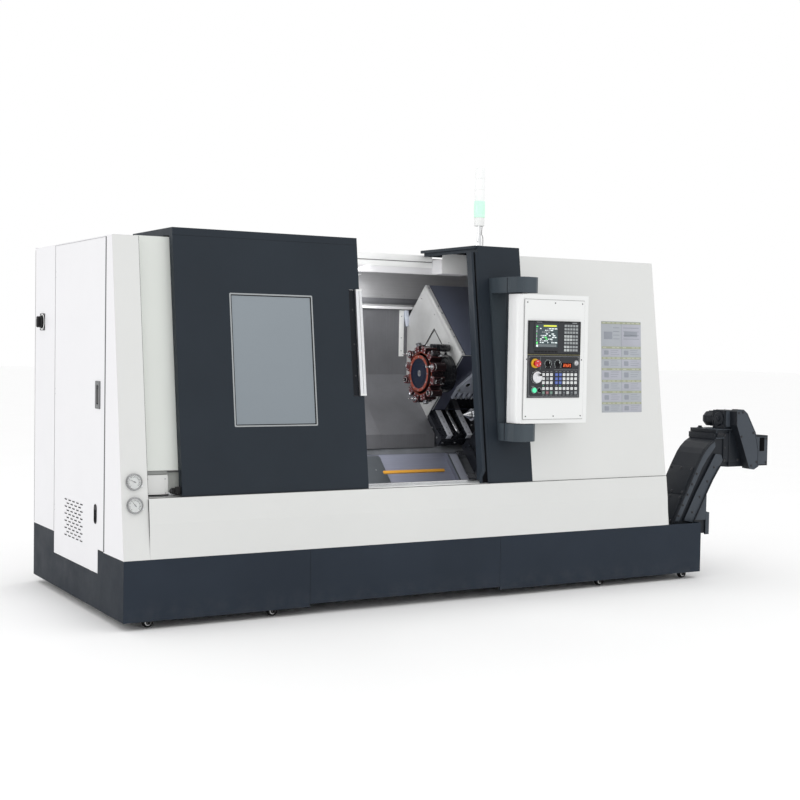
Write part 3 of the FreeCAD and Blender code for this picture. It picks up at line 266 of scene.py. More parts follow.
# Control box white: the side colour darkens faces that point towards -X as painted shade.
paint("white_ctl", (0.815, 0.825, 0.82), side=(0.79, 0.795, 0.795), rough=0.42, worn=(0.86, 0.86, 0.86), wear=0.3, vary=0.010, coat=0.05)
# Arm paint: darker towards its left end near the post, painted shade.
paint("slate_arm", (0.060, 0.076, 0.090), rough=0.50, peel=0.09, vary=0.06, wear=0.3, worn=(0.09, 0.105, 0.12), coat=0.0, spec=0.25, x_shade_ramp=(0.08, 0.15, (0.040, 0.052, 0.063)))
paint("slate_deep", (0.007, 0.009, 0.013), spec=0.2, coat=0.0, rough=0.48, peel=0.08, vary=0.1, wear=0.35, worn=(0.06, 0.07, 0.09))
# Navy paint in two copies: the first raised in tone as painted light where little light reaches, the second darker as
# painted shade for the down-facing end cover.
paint("navy_lit_copy", (0.105, 0.120, 0.170), spec=0.4, rough=0.36, peel=0.05, vary=0.12, wear=0.4, worn=(0.12, 0.13, 0.17), coat=0.4)
paint("navy_shaded_copy", (0.052, 0.057, 0.088), spec=0.4, rough=0.32, peel=0.05, vary=0.15, wear=0.4, worn=(0.10, 0.11, 0.15), coat=0.4)
# Conveyor paints: the side colour is painted light and shade on faces that point towards -X, a touch lighter on the
# first, near black on the second.
paint("conveyor_dark", (0.011, 0.014, 0.019), side=(0.0120, 0.0150, 0.0200), rough=0.44, peel=0.1, vary=0.1, wear=0.4, worn=(0.06, 0.065, 0.075), coat=0.0, spec=0.25)
paint("conveyor_light", (0.050, 0.060, 0.074), side=(0.012, 0.0145, 0.019), rough=0.42, peel=0.1, vary=0.08, wear=0.5, worn=(0.13, 0.14, 0.15), coat=0.0, spec=0.25)
paint("orange_bar", (0.62, 0.30, 0.035), rough=0.38, vary=0.06, wear=0.6, worn=(0.45, 0.43, 0.40))
# Turret reds: the near-black base colour is painted shade, and the red kept only on faces that point towards -X is
# painted light.
paint("holder_red", (0.012, 0.006, 0.007), side=(0.095, 0.019, 0.021), rough=0.24, peel=0.12, vary=0.35, wear=0.45, worn=(0.20, 0.05, 0.045), coat=0.4)
paint("ring_red", (0.016, 0.010, 0.012), side=(0.235, 0.042, 0.022), rough=0.30, peel=0.08, vary=0.25, wear=0.40, worn=(0.30, 0.10, 0.07), coat=0.4)
paint("clamp_maroon", (0.020, 0.008, 0.009), side=(0.13, 0.02, 0.023), rough=0.28, peel=0.08, vary=0.3, wear=0.6, worn=(0.5, 0.16, 0.15), coat=0.4)
paint("disc_navy", (0.005, 0.009, 0.024), rough=0.16, peel=0.03, vary=0.3, wear=0.3, worn=(0.12, 0.14, 0.2), coat=0.25, spec=0.3)
brushed("stainless", (0.25, 0.262, 0.315), rough=0.46, scale=(2.5, 220, 220), metal=0.75)
# Tones of the one stainless chute sheet: the first darker as painted shade, the second and third lighter as painted
# light.
brushed("chute_painted_shade", (0.125, 0.14, 0.155), rough=0.48, scale=(2.5, 200, 200), metal=0.5, smear=0.3)
brushed("chute_painted_lit", (0.30, 0.315, 0.395), rough=0.50, scale=(2.5, 200, 200), metal=0.4, smear=0.2)
brushed("chute_band_painted_lit", (0.44, 0.46, 0.54), rough=0.46, scale=(220, 3, 3), metal=0.3, smear=0.15)
brushed("stainless_dark", (0.195, 0.198, 0.212), rough=0.50, scale=(220, 220, 3), smear=0.5, metal=0.6)
brushed("stainless_wall", (0.50, 0.50, 0.51), rough=0.42, scale=(3, 220, 220), smear=0.3, metal=0.7)
brushed("plate_bright", (0.64, 0.645, 0.64), rough=0.46, scale=(200, 3, 3), smear=0.22, metal=0.4)
brushed("strip_bright", (0.80, 0.80, 0.80), rough=0.40, scale=(200, 3, 3), smear=0.1, metal=0.25)
# Pale, barely metallic steel for the slide-way caps: its brightness is a painted reflection.
brushed("rail_painted_reflection", (0.80, 0.82, 0.88), rough=0.30, scale=(4, 200, 200), smear=0.12, metal=0.35)
brushed("ground_steel", (0.68, 0.69, 0.71), rough=0.17, scale=(4, 300, 300), smear=0.1)
brushed("turned_steel", (0.62, 0.63, 0.65), rough=0.22, scale=(420, 8, 8), smear=0.1)
brushed("aluminium", (0.80, 0.81, 0.83), rough=0.36, scale=(300, 300, 3), smear=0.05)
brushed("rim_steel", (0.34, 0.345, 0.35), rough=0.20, scale=(60, 60, 60), smear=0.2, depth=0.05)
brushed("chrome", (0.78, 0.79, 0.80), rough=0.09, scale=(60, 60, 60), smear=0.03, depth=0.02)
brushed("screw_steel", (0.42, 0.43, 0.44), rough=0.32, scale=(160, 160, 160), smear=0.2)
brushed("screw_dark", (0.06, 0.06, 0.065), rough=0.36, scale=(160, 160, 160), smear=0.2, metal=0.7)
cast("cast_grey", (0.16, 0.17, 0.185), rough=0.5)
cast("cast_dark", (0.018, 0.020, 0.026), rough=0.32)
cast("cast_black", (0.010, 0.011, 0.014), rough=0.24, bump=0.2)
cast("comb_steel", (0.56, 0.60, 0.69), rough=0.36, metal=0.15, bump=0.5)
plastic("black_panel", (0.014, 0.016, 0.021), rough=0.42, grain=0.12)
plastic("black_plastic", (0.012, 0.012, 0.013), rough=0.38, wear=0.25, spec=0.2)
plastic("black_hole", (0.003, 0.003, 0.004), rough=0.7, spec=0.05)
plastic("rubber", (0.008, 0.008, 0.009), rough=0.66, grain=0.3, scale=260.0, spec=0.15)
plastic("seam_shadow", (0.045, 0.046, 0.047), rough=0.7)
plastic("seam_dark", (0.10, 0.105, 0.11), rough=0.7)
plastic("seam_mid", (0.33, 0.33, 0.335), rough=0.7)
plastic("seam_soft", (0.23, 0.23, 0.23), rough=0.6)
plastic("white_plastic", (0.82, 0.83, 0.82), rough=0.36, coat=0.2)
# Bright white: the real colour of the main switch ring, and painted light on the roof beam bands and the roof box
# front.
plastic("white_bright_and_painted_lit", (0.93, 0.935, 0.93), rough=0.36)
# Mid grey for a painted shadow band.
plastic("shadow_band_grey", (0.30, 0.31, 0.30), rough=0.6)
plastic("key_white", (0.76, 0.78, 0.78), rough=0.42, wear=0.1)
plastic("key_grey", (0.30, 0.32, 0.33), rough=0.45)
plastic("key_light", (0.52, 0.55, 0.55), rough=0.45)
plastic("key_blue", (0.10, 0.16, 0.52), rough=0.4)
plastic("key_green", (0.16, 0.27, 0.22), rough=0.45)
plastic("key_dark", (0.09, 0.10, 0.11), rough=0.45)
plastic("key_red", (0.30, 0.12, 0.14), rough=0.45)
plastic("estop_red", (0.62, 0.022, 0.030), rough=0.26, coat=0.4)
plastic("estop_yellow", (0.80, 0.46, 0.02), rough=0.36)
plastic("lamp_green", (0.10, 0.72, 0.38), rough=0.25, emit=(0.10, 0.85, 0.42), power=0.35)
plastic("led_orange", (0.8, 0.12, 0.03), rough=0.3, emit=(1.0, 0.16, 0.04), power=1.3)
plastic("scr_white", (0.6, 0.66, 0.66), rough=0.4, emit=(0.75, 0.84, 0.85), power=0.55)
plastic("scr_green", (0.1, 0.6, 0.15), rough=0.4, emit=(0.15, 0.85, 0.2), power=0.6)
plastic("scr_yellow", (0.6, 0.62, 0.05), rough=0.4, emit=(0.72, 0.78, 0.08), power=0.5)
plastic("scr_dark", (0.010, 0.022, 0.026), rough=0.12, coat=0.6, emit=(0.03, 0.07, 0.08), power=0.4, grain=0.0)
plastic("line_grey", (0.34, 0.36, 0.37), rough=0.5)
plastic("line_olive", (0.42, 0.38, 0.14), rough=0.5)
plastic("chart_blue", (0.395, 0.42, 0.455), rough=0.4, coat=0.1)
plastic("chart_lilac", (0.41, 0.42, 0.475), rough=0.4, coat=0.1)
plastic("chart_grey", (0.28, 0.30, 0.34), rough=0.4)
plastic("chart_olive", (0.34, 0.36, 0.25), rough=0.4)
plastic("chart_pale", (0.50, 0.52, 0.42), rough=0.4)
# Gauge dial white with a faint glow, painted light.
plastic("dial_white_glowing", (0.86, 0.865, 0.86), rough=0.35, emit=(1.0, 1.0, 1.0), power=0.14)
plastic("zone_green", (0.10, 0.42, 0.16), rough=0.4)
plastic("zone_red", (0.6, 0.05, 0.04), rough=0.4)
plastic("lamp_clear", (0.90, 0.915, 0.91), rough=0.16, coat=0.5, grain=0.0)
plastic("lamp_mint", (0.52, 0.90, 0.66), rough=0.16, coat=0.5, emit=(0.5, 0.95, 0.65), power=0.25, grain=0.0)
plastic("cable_black", (0.016, 0.016, 0.017), rough=0.5)
plastic("latch_grey", (0.13, 0.135, 0.14), rough=0.45)
plastic("filter_grey", (0.36, 0.37, 0.38), rough=0.55, grain=0.3, scale=300.0)


def window_mat():
    """Laminated vision panel seen from outside: grey, painted lighter towards the top as a painted sheen."""
    m, nt, b = base_mat("vision_panel")
    v = coords(nt)
    ge = nt.nodes.new("ShaderNodeNewGeometry")
    sx = nt.nodes.new("ShaderNodeSeparateXYZ")
    nt.links.new(ge.outputs["Position"], sx.inputs[0])
    # Painted sheen: the grey lightens with height.
    g = span(nt, sx.outputs["Z"], 0.9, 1.7, 0.0, 1.0)
    c = ramp(nt, g, [(0.0, (0.225, 0.258, 0.285)), (1.0, (0.255, 0.290, 0.318))])
    c = mixc(nt, span(nt, noise(nt, v, 1.8, 4.0), 0.4, 0.7, 0.0, 0.14), c, (0.20, 0.225, 0.25))
    nt.links.new(c, b.inputs["Base Color"])
    nt.links.new(span(nt, noise(nt, v, 9.0, 5.0), 0.3, 0.7, 0.10, 0.18), b.inputs["Roughness"])
    b.inputs["Specular IOR Level"].default_value = 0.35
    bumped(nt, b, noise(nt, v, 3.0, 2.0), 0.02, 0.001)
    return m


window_mat()


def gauge_glass():
    m, nt, b = base_mat("gauge_glass")
    v = coords(nt)
    b.inputs["Transmission Weight"].default_value = 1.0
    b.inputs["IOR"].default_value = 1.35
    nt.links.new(span(nt, noise(nt, v, 60.0, 2.0), 0.3, 0.7, 0.0, 0.04), b.inputs["Roughness"])
    b.inputs["Base Color"].default_value = (0.96, 0.97, 0.97, 1)
    return m


gauge_glass()


# --------------------------------------------------------------- local frames
def basis(o, x, y, z):
    m = Matrix((Vector(x).normalized(), Vector(y).normalized(), Vector(z).normalized())).transposed().to_4x4()
    m.translation = Vector(o)
    return m


_n = Vector((0, -1, LEAN)).normalized()


def FRONT(x, z, off=0.0):
    return basis(Vector((x, fy(z), z)) + _n * off, (1, 0, 0), (0, LEAN, 1), _n)


def LEFT(y, z, off=0.0):
    return basis((-off, y, z), (0, -1, 0), (0, 0, 1), (-1, 0, 0))


def BACK(x, z, off=0.0):
    return basis((x, 1556 + off, z), (-1, 0, 0), (0, 0, 1), (0, 1, 0))


def RIGHT(y, z, off=0.0, x=3368.0):
    return basis((x + off, y, z), (0, 1, 0), (0, 0, 1), (1, 0, 0))


def PANEL(x, z, y):
    return basis((x, y, z), (1, 0, 0), (0, 0, 1), (0, -1, 0))


def TOP(x, y, z):
    return basis((x, y, z), (1, 0, 0), (0, 1, 0), (0, 0, 1))


def XAX(x, y, z):
    return basis((x, y, z), (0, 1, 0), (0, 0, 1), (1, 0, 0))


def YPOS(x, y, z):
    return basis((x, y, z), (-1, 0, 0), (0, 0, 1), (0, 1, 0))


def SLOPE(x, p, q):
    return basis((x, (p - q) * C, (p + q) * C), (1, 0, 0), (0, C, C), (0, -C, C))


def EFACE(x, q, p):
    return basis((x, (p - q) * C, (p + q) * C), (1, 0, 0), (0, -C, C), (0, -C, -C))


def PFACE(x, p, q):
    return basis((x, (p - q) * C, (p + q) * C), (0, -C, -C), (0, -C, C), (-1, 0, 0))


# ------------------------------------------------------------------- builder
def rr(x0, x1, y0, y1, r, n=5):
    r = min(r, (x1 - x0) / 2 - 1e-4, (y1 - y0) / 2 - 1e-4)
    pts = []
    for cx, cy, a0 in ((x1 - r, y1 - r, 0), (x0 + r, y1 - r, 90), (x0 + r, y0 + r, 180), (x1 - r, y0 + r, 270)):
        for i in range(n + 1):
            a = math.radians(a0 + 90 * i / n)
            pts.append((cx + r * math.cos(a), cy + r * math.sin(a)))
    return pts


class Piece:
    def __init__(self, name):
        self.name = name
        self.bm = bmesh.new()
        self.mats = []

    def _mat(self, name):
        if name not in self.mats:
            self.mats.append(name)
        return self.mats.index(name)

    def _add(self, t, m, mat, sharp=34.0):
        bmesh.ops.recalc_face_normals(t, faces=t.faces[:])
        t.transform(m)
        k = self._mat(mat)
        for f in t.faces:
            f.material_index = k
            f.smooth = True
        lim = math.radians(sharp)
        for e in t.edges:
            if len(e.link_faces) != 2 or e.calc_face_angle(0.0) > lim:
                e.smooth = False
        me = bpy.data.meshes.new("t")
        t.to_mesh(me)
        t.free()
        self.bm.from_mesh(me)
        bpy.data.meshes.remove(me)
        return self

    def slab(self, m, x0, x1, y0, y1, z0, z1, mat, bev=1.0, seg=2):
        t = bmesh.new()
        bmesh.ops.create_cube(t, size=1.0)
        for v in t.verts:
            v.co = Vector((x0 + (v.co.x + 0.5) * (x1 - x0), y0 + (v.co.y + 0.5) * (y1 - y0), z0 + (v.co.z + 0.5) * (z1 - z0)))
        b = min(bev, abs(x1 - x0) * 0.3, abs(y1 - y0) * 0.3, abs(z1 - z0) * 0.3)
        if b > 0.01:
            bmesh.ops.bevel(t, geom=t.edges[:], offset=b, segments=seg, profile=0.6, affect="EDGES")
        return self._add(t, m, mat)

    def plate(self, m, pts, z0, z1, mat, bev=0.6, seg=2):
        t = bmesh.new()
        vs = [t.verts.new((a, b, z0)) for a, b in pts]
        f = t.faces.new(vs)
        r = bmesh.ops.extrude_face_region(t, geom=[f])
        for v in [g for g in r["geom"] if isinstance(g, bmesh.types.BMVert)]:
            v.co.z = z1
        if bev > 0.01:
            top = [e for e in t.edges if all(abs(v.co.z - z1) < 1e-6 for v in e.verts)]
            bmesh.ops.bevel(t, geom=top, offset=min(bev, abs(z1 - z0) * 0.45), segments=seg, profile=0.6, affect="EDGES")
        return self._add(t, m, mat)

    def ring(self, m, outer, inner, z0, z1, mat):
        """Flat frame between two outlines with the same number of points."""
        t = bmesh.new()
        n = len(outer)
        h = (z1 - z0) * 0.35
        loops = []
        for pts, z, k in ((outer, z0, 0), (outer, z1 - h, 0), (outer, z1, 1), (inner, z1, 1), (inner, z1 - h, 0), (inner, z0, 0)):
            src = outer if pts is outer else inner
            oth = inner if pts is outer else outer
            row = []
            for (a, b), (c, d) in zip(src, oth):
                L = math.hypot(c - a, d - b) or 1.0
                s = min(h, L * 0.3) / L * k
                row.append(t.verts.new((a + (c - a) * s, b + (d - b) * s, z)))
            loops.append(row)
        for i in range(6):
            p, q = loops[i], loops[(i + 1) % 6]
            for j in range(n):
                t.faces.new((p[j], p[(j + 1) % n], q[(j + 1) % n], q[j]))
        return self._add(t, m, mat)

    def lathe(self, m, prof, mat, seg=36, sharp=34.0):
        """Turns (radius, height) points about the local z axis."""
        t = bmesh.new()
        rows = []
        for r, z in prof:
            if r < 1e-6:
                rows.append([t.verts.new((0, 0, z))])
            else:
                rows.append([t.verts.new((r * math.cos(2 * math.pi * i / seg), r * math.sin(2 * math.pi * i / seg), z)) for i in range(seg)])
        for a, b in zip(rows, rows[1:]):
            for i in range(seg):
                j = (i + 1) % seg
                if len(a) == 1 and len(b) == 1:
                    continue
                if len(a) == 1:
                    t.faces.new((a[0], b[j], b[i]))
                elif len(b) == 1:
                    t.faces.new((a[i], a[j], b[0]))
                else:
                    t.faces.new((a[i], a[j], b[j], b[i]))
        return self._add(t, m, mat, sharp)

    def disc(self, m, r, z0, z1, mat, seg=36, bev=0.8):
        bev = min(bev, (z1 - z0) * 0.45, r * 0.4)
        return self.lathe(m, [(0, z0), (r, z0), (r, z1 - bev), (r - bev * 0.3, z1 - bev * 0.3), (r - bev, z1), (0, z1)], mat, seg)

    def hoop(self, m, ro, ri, z0, z1, mat, seg=40, bev=0.6):
        b = min(bev, (ro - ri) * 0.3, (z1 - z0) * 0.4)
        return self.lathe(m, [(ri, z0), (ro, z0), (ro, z1 - b), (ro - b, z1), (ri + b, z1), (ri, z1 - b), (ri, z0)], mat, seg)

    def screw(self, m, r=4.0, h=2.5, mat="screw_steel", seg=16):
        """Socket head with a round recess."""
        self.lathe(m, [(0, h * 0.35), (r * 0.46, h * 0.35), (r * 0.52, h * 0.96), (r * 0.86, h), (r, h * 0.8), (r, 0), (0, 0)], mat, seg)
        return self

    def bolt(self, m, af=13.0, h=7.0, mat="screw_steel"):
        """Hexagon head on a washer."""
        self.lathe(m, [(0, 0), (af * 0.95, 0), (af * 0.95, 1.6), (af * 0.88, 2.0), (0, 2.0)], mat, 20)
        R = af / math.sqrt(3)
        self.lathe(m, [(0, 2.0), (R, 2.0), (R, h * 0.86 + 2), (R * 0.86, h + 2), (0, h + 2)], mat, 6, 20.0)
        return self

    def tube(self, pts, r, mat, seg=10, steps=6):
        """Round section along a smooth path (Catmull-Rom through pts)."""
        P = [Vector(p) for p in pts]
        P = [P[0] + (P[0] - P[1])] + P + [P[-1] + (P[-1] - P[-2])]
        path = []
        for i in range(1, len(P) - 2):
            for s in range(steps):
                u = s / steps
                a, b, c, d = P[i - 1], P[i], P[i + 1], P[i + 2]
                path.append(0.5 * ((2 * b) + (c - a) * u + (2 * a - 5 * b + 4 * c - d) * u * u + (3 * b - a - 3 * c + d) * u ** 3))
        path.append(P[-2])
        t = bmesh.new()
        up = Vector((0.13, 0.21, 0.97))
        rows = []
        for i, p in enumerate(path):
            d = (path[min(i + 1, len(path) - 1)] - path[max(i - 1, 0)]).normalized()
            side = d.cross(up).normalized()
            up2 = side.cross(d).normalized()
            up = up2
            rows.append([t.verts.new(p + r * (math.cos(2 * math.pi * k / seg) * side + math.sin(2 * math.pi * k / seg) * up2)) for k in range(seg)])
        for a, b in zip(rows, rows[1:]):
            for k in range(seg):
                j = (k + 1) % seg
                t.faces.new((a[k], a[j], b[j], b[k]))
        t.faces.new(rows[0])
        t.faces.new(rows[-1])
        return self._add(t, Matrix.Identity(4), mat)

    def done(self, body, slot, replaces=()):
        for v in self.bm.verts:
            v.co = Vector(((v.co.x - OX) * 0.001, (v.co.y - OY) * 0.001, v.co.z * 0.001))
        me = bpy.data.meshes.new(self.name)
        self.bm.to_mesh(me)
        self.bm.free()
        for k in self.mats:
            me.materials.append(MATS[k])
        o = bpy.data.objects.new(self.name, me)
        bpy.context.scene.collection.objects.link(o)
        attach(o, body)
        if replaces:
            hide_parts(*replaces)
        return o


# --------------------------------------------------- materials of the CAD nodes
NODE_MAT = {
    "bed_casting": "cast_grey", "leveling_feet": "screw_steel", "coolant_tank": "slate_plinth", "caster_forks": "black_plastic",
    "left_column_cover": "white_front_shaded", "headstock_cover": "white_green", "lower_front_cover": "white_front_shaded",
    "right_cover": "white_front_shaded", "rear_cover": "white_side_lit", "roof_cover": "white_side_lit", "door_post": "slate",
    "door_tracks": "ground_steel", "splash_guard": "stainless_wall", "chip_chute": "stainless", "headstock_casting": "cast_grey",
    "spindle_cartridge": "turned_steel", "guide_rails": "ground_steel", "way_covers_fixed": "stainless_dark",
    "way_cover_middle": "stainless_dark", "way_covers_carriage": "stainless_dark", "control_arm": "slate_arm",
    "pressure_gauges": "chrome", "signal_tower": "lamp_clear", "conveyor_frame": "conveyor_dark",
    "conveyor_gearmotor": "conveyor_dark", "conveyor_chain_guard": "conveyor_light", "conveyor_shaft": "turned_steel",
    "door_panel": "slate", "door_window": "vision_panel", "door_handle": "aluminium", "side_door": "white_side_lit",
    "main_switch_knob": "black_plastic", "spindle_shaft": "turned_steel", "chuck_body": "turned_steel",
    "chuck_jaw_1": "ground_steel", "chuck_jaw_2": "ground_steel", "chuck_jaw_3": "ground_steel",
    "carriage_saddle": "cast_dark", "carriage_cover": "plate_bright", "turret_slide": "cast_black", "cross_slide_cover": "navy_shaded_copy",
    "turret_disc": "ring_red", "tool_holders": "holder_red", "tailstock_body": "cast_dark", "tailstock_quill": "turned_steel",
    "live_centre": "ground_steel", "control_box": "white_ctl", "display_unit": "black_panel", "operator_panel": "black_panel",
    "estop_button": "estop_red", "start_button": "lamp_green", "feed_override_knob": "black_plastic",
    "spindle_override_knob": "black_plastic", "mode_switch": "black_plastic", "key_switch": "aluminium",
    "handwheel": "aluminium", "tank_wheels_1": "rubber", "tank_wheels_2": "rubber", "tank_wheels_3": "rubber", "tank_wheels_4": "rubber",
}
for n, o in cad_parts.items():
    o.data.materials.clear()
    o.data.materials.append(MATS[NODE_MAT[n]])

# ------------------------------------------------------------------- camera
cam_d = bpy.data.cameras.new("camera")
cam = bpy.data.objects.new("camera", cam_d)
bpy.context.scene.collection.objects.link(cam)
yaw, pitch, roll = math.radians(30.285), math.radians(-2.328), math.radians(0.975)
cy, sy = math.cos(yaw), math.sin(yaw)
fwd = Vector((sy * math.cos(pitch), cy * math.cos(pitch), math.sin(pitch)))
rgt = Vector((cy, -sy, 0))
upv = rgt.cross(fwd)
r2 = math.cos(roll) * rgt + math.sin(roll) * upv
u2 = -math.sin(roll) * rgt + math.cos(roll) * upv
cam.matrix_world = basis((-2.1192 - OX / 1000, -6.1908 - OY / 1000, 1.3841), r2, u2, -fwd)
cam_d.sensor_width = 36.0
cam_d.lens = 36.0 * 1366.01 / 800.0
cam_d.clip_start, cam_d.clip_end = 0.05, 200.0
bpy.context.scene.camera = cam

# ------------------------------------------------- left column: two gauges
for i, gz in enumerate((707.0, 596.0)):
    g = Piece("pressure_gauge_%d" % (i + 1))
    m = FRONT(64, gz)
    g.lathe(m, [(0, 0.2), (37, 0.2), (41, 1.0), (41, 3.5), (38.5, 4.5), (38.5, 10.0), (39.6, 11.5), (38.8, 14.0), (36.2, 15.0), (33.8, 14.0), (33.2, 11.5), (32.8, 9.0), (0, 9.0)], "rim_steel", 56)
    # Dial face, glowing faintly as painted light.
    g.disc(m, 32.7, 8.9, 9.4, "dial_white_glowing", 48, 0.1)
    for k in range(41):
        a = math.radians(-135 + 270 * k / 40)
        big = k % 5 == 0
        mk = m @ Matrix.Rotation(-a, 4, "Z")
        g.slab(mk, -0.7 if big else -0.35, 0.7 if big else 0.35, 24.0 if big else 26.5, 30.0, 9.4, 9.7, "black_plastic", 0)
    for a0, a1, zm in ((-135, -20, "dial_white_glowing"), (-20, 70, "key_grey"), (70, 135, "line_grey")):
        if zm == "dial_white_glowing":
            continue
        for k in range(8):
            a = math.radians(a0 + (a1 - a0) * (k + 0.5) / 8)
            g.slab(m @ Matrix.Rotation(-a, 4, "Z"), -2.6, 2.6, 21.4, 23.2, 9.4, 9.6, zm, 0)
    mn = m @ Matrix.Rotation(math.radians(38 if i else 62), 4, "Z")
    g.plate(mn, [(-1.4, -9), (1.4, -9), (0.9, 8), (0.3, 25), (-0.3, 25), (-0.9, 8)], 10.2, 10.8, "black_plastic", 0.1)
    g.lathe(m, [(0, 9.4), (3.6, 9.4), (3.6, 11.4), (2.4, 12.2), (0, 12.4)], "screw_steel", 20)
    for a in (45, 165, 285):
        mm = m @ Matrix.Rotation(math.radians(a), 4, "Z") @ Matrix.Translation((37.6, 0, 13.4))
        g.screw(mm, 1.9, 1.6)
    g.lathe(m @ Matrix.Translation((38, -19, 0)), [(0, 0.3), (7, 0.3), (7, 9), (5.6, 12), (0, 12.6)], "chrome", 20)
    g.done("machine", "chrome_rim", replaces=("pressure_gauges",) if i == 0 else ())
    gl = Piece("gauge_glass_%d" % (i + 1))
    gl.lathe(m, [(0, 11.4), (32.6, 11.2), (32.8, 12.0), (20, 13.2), (0, 13.7)], "gauge_glass", 40)
    gl.done("machine", "chrome_rim")

# column: seam to the headstock cover
col = Piece("column_trim")
for z0, z1 in ((338, 1889),):
    a, b = FRONT(132.2, z0), FRONT(132.2, z1)
col.plate(basis((0, 0, 0), (0, 1, 0), (0, 0, 1), (1, 0, 0)), [(fy(338) + 0.4, 338), (fy(1889) + 0.4, 1889), (fy(1889) + 6, 1889), (fy(338) + 6, 338)], 131.8, 133.6, "seam_shadow", 0.0)
col.done("machine", "white_paint")

# --------------------------------------------------------- left side details
sd = Piece("side_door_latch")
m = LEFT(405, 1109)
sd.ring(m, rr(-36, 36, -69, 69, 5), rr(-15, 15, -47, 47, 4), 0.1, 5.0, "latch_grey")
sd.plate(m, rr(-16, 16, -48, 48, 4), 0.1, 0.6, "black_hole", 0.0)
sd.plate(m, rr(-12.5, 12.5, -42, 30, 3), 0.5, 3.6, "black_plastic", 1.2, 3)
sd.lathe(m @ Matrix.Translation((0, 38, 0)), [(0, 0.5), (6, 0.5), (6, 4.0), (5, 4.6), (2, 4.6), (2, 3.4), (0, 3.4)], "screw_dark", 20)
for y in (-58, 58):
    sd.screw(m @ Matrix.Translation((0, y, 5.0)), 3.2, 1.4, "screw_steel")
sd.done("side_door", "white_paint")

sp = Piece("side_door_pull")
m = LEFT(433, 513)
sp.ring(m, rr(-21, 21, -50, 50, 20.9), rr(-17, 17, -46, 46, 16.9), 0.1, 2.6, "black_plastic")
sp.plate(m, rr(-18, 18, -47, 47, 17.9), 0.05, 0.5, "black_hole", 0.0)
sp.plate(m, rr(-13, 13, 20, 42, 10), 0.4, 2.0, "black_plastic", 0.8)
sp.done("side_door", "white_paint")

lv = Piece("side_door_louvres")
for r in range(11):
    z = 535 - r * 18.9
    n = 5 if r % 2 == 0 else 4
    for k in range(n):
        y = 665 + (31 if r % 2 else 0) + k * 68.0
        m = LEFT(y, z)
        lv.plate(m, rr(-21, 21, -3.6, 3.6, 3.5, 4), 0.05, 0.45, "black_hole", 0.0)
        lv.plate(m, [(-22, 3.0), (22, 3.0), (20, 6.2), (-20, 6.2)], 0.05, 2.6, "white_side_lit", 1.0, 2)
lv.done("side_door", "white_paint")

sdh = Piece("side_door_hinges")
for z in (470, 1100, 1730):
    m = basis((9, 1145, z), (1, 0, 0), (0, 1, 0), (0, 0, 1))
    sdh.lathe(m, [(0, -42), (8.4, -42), (9, -41), (9, 41), (8.4, 42), (0, 42)], "screw_steel", 24)
    for dz in (-14, 14):
        sdh.hoop(m, 9.6, 8.6, dz - 1.2, dz + 1.2, "screw_dark", 24)
sdh.done("side_door", "white_paint")

ms = Piece("main_switch_plate")
m = LEFT(1400, 1476)
ms.plate(m, rr(-45, 45, -47, 47, 6), 0.1, 3.6, "black_plastic", 1.2, 3)
ms.hoop(m, 44.0, 38.6, 3.4, 5.4, "white_bright_and_painted_lit", 56)
for dx in (-39, 39):
    for dy in (-41, 41):
        ms.screw(m @ Matrix.Translation((dx, dy, 3.6)), 3.0, 1.5, "screw_steel")
for a in (0, 90):
    ms.slab(m @ Matrix.Rotation(math.radians(a), 4, "Z"), -1.4, 1.4, 37.6, 41.6, 5.3, 5.8, "estop_red" if a else "black_plastic", 0.1)
ms.done("machine", "black_plastic")

mk = Piece("main_switch_grip")
m = LEFT(1400, 1476)
mk.lathe(m, [(10, 4.4), (33.5, 4.4), (34, 5.2), (34, 13.0), (32.5, 16.4), (29, 18.0), (0, 18.4)], "black_plastic", 56)
for k in range(28):
    mk.slab(m @ Matrix.Rotation(2 * math.pi * k / 28, 4, "Z"), -1.3, 1.3, 33.2, 35.2, 5.6, 13.0, "black_plastic", 0.5)
mk.plate(m, rr(-13, 13, -31, 31, 12.6), 17.5, 35.0, "black_plastic", 5.0, 4)
mk.slab(m, -1.2, 1.2, 16, 26, 34.6, 35.4, "key_light", 0.3)
mk.done("main_switch", "black_plastic", replaces=("main_switch_knob",))

# seams of the left side: rear edge of the column and front of the rear strip
sm = Piece("left_side_seams")
sm.slab(LEFT(305.4, 1114), -1.0, 15.0, -773, 771, -1.0, 0.45, "seam_dark", 0.2)
sm.slab(LEFT(1154.6, 1114), -6.0, -2.4, -773, 771, -0.1, 0.4, "seam_mid", 0.2)
sm.slab(LEFT(730, 1887.4), -416, 420, -2.0, 2.0, -1.2, 0.3, "white_side_lit", 0.3)
sm.slab(LEFT(1549, 1110), -3.0, 3.0, -770, 770, -0.1, 0.5, "seam_soft", 0.2)
sm.done("machine", "white_paint")

# ------------------------------------------------------------------ the door
dw = Piece("door_window_bead")
zc = (965 + 1623) / 2
hh = (1623 - 965) / 2 * math.sqrt(1 + LEAN ** 2)
m = FRONT(828, zc)
dw.ring(m, rr(-232, 232, -hh - 6, hh + 6, 7), rr(-224.5, 224.5, -hh + 1.5, hh - 1.5, 3), -0.2, 1.3, "line_grey")
dw.ring(m, rr(-226.5, 226.5, -hh, hh, 3), rr(-220, 220, -hh + 6, hh - 6, 2), -3.3, -0.8, "rubber")
dw.done("door", "slate_paint")

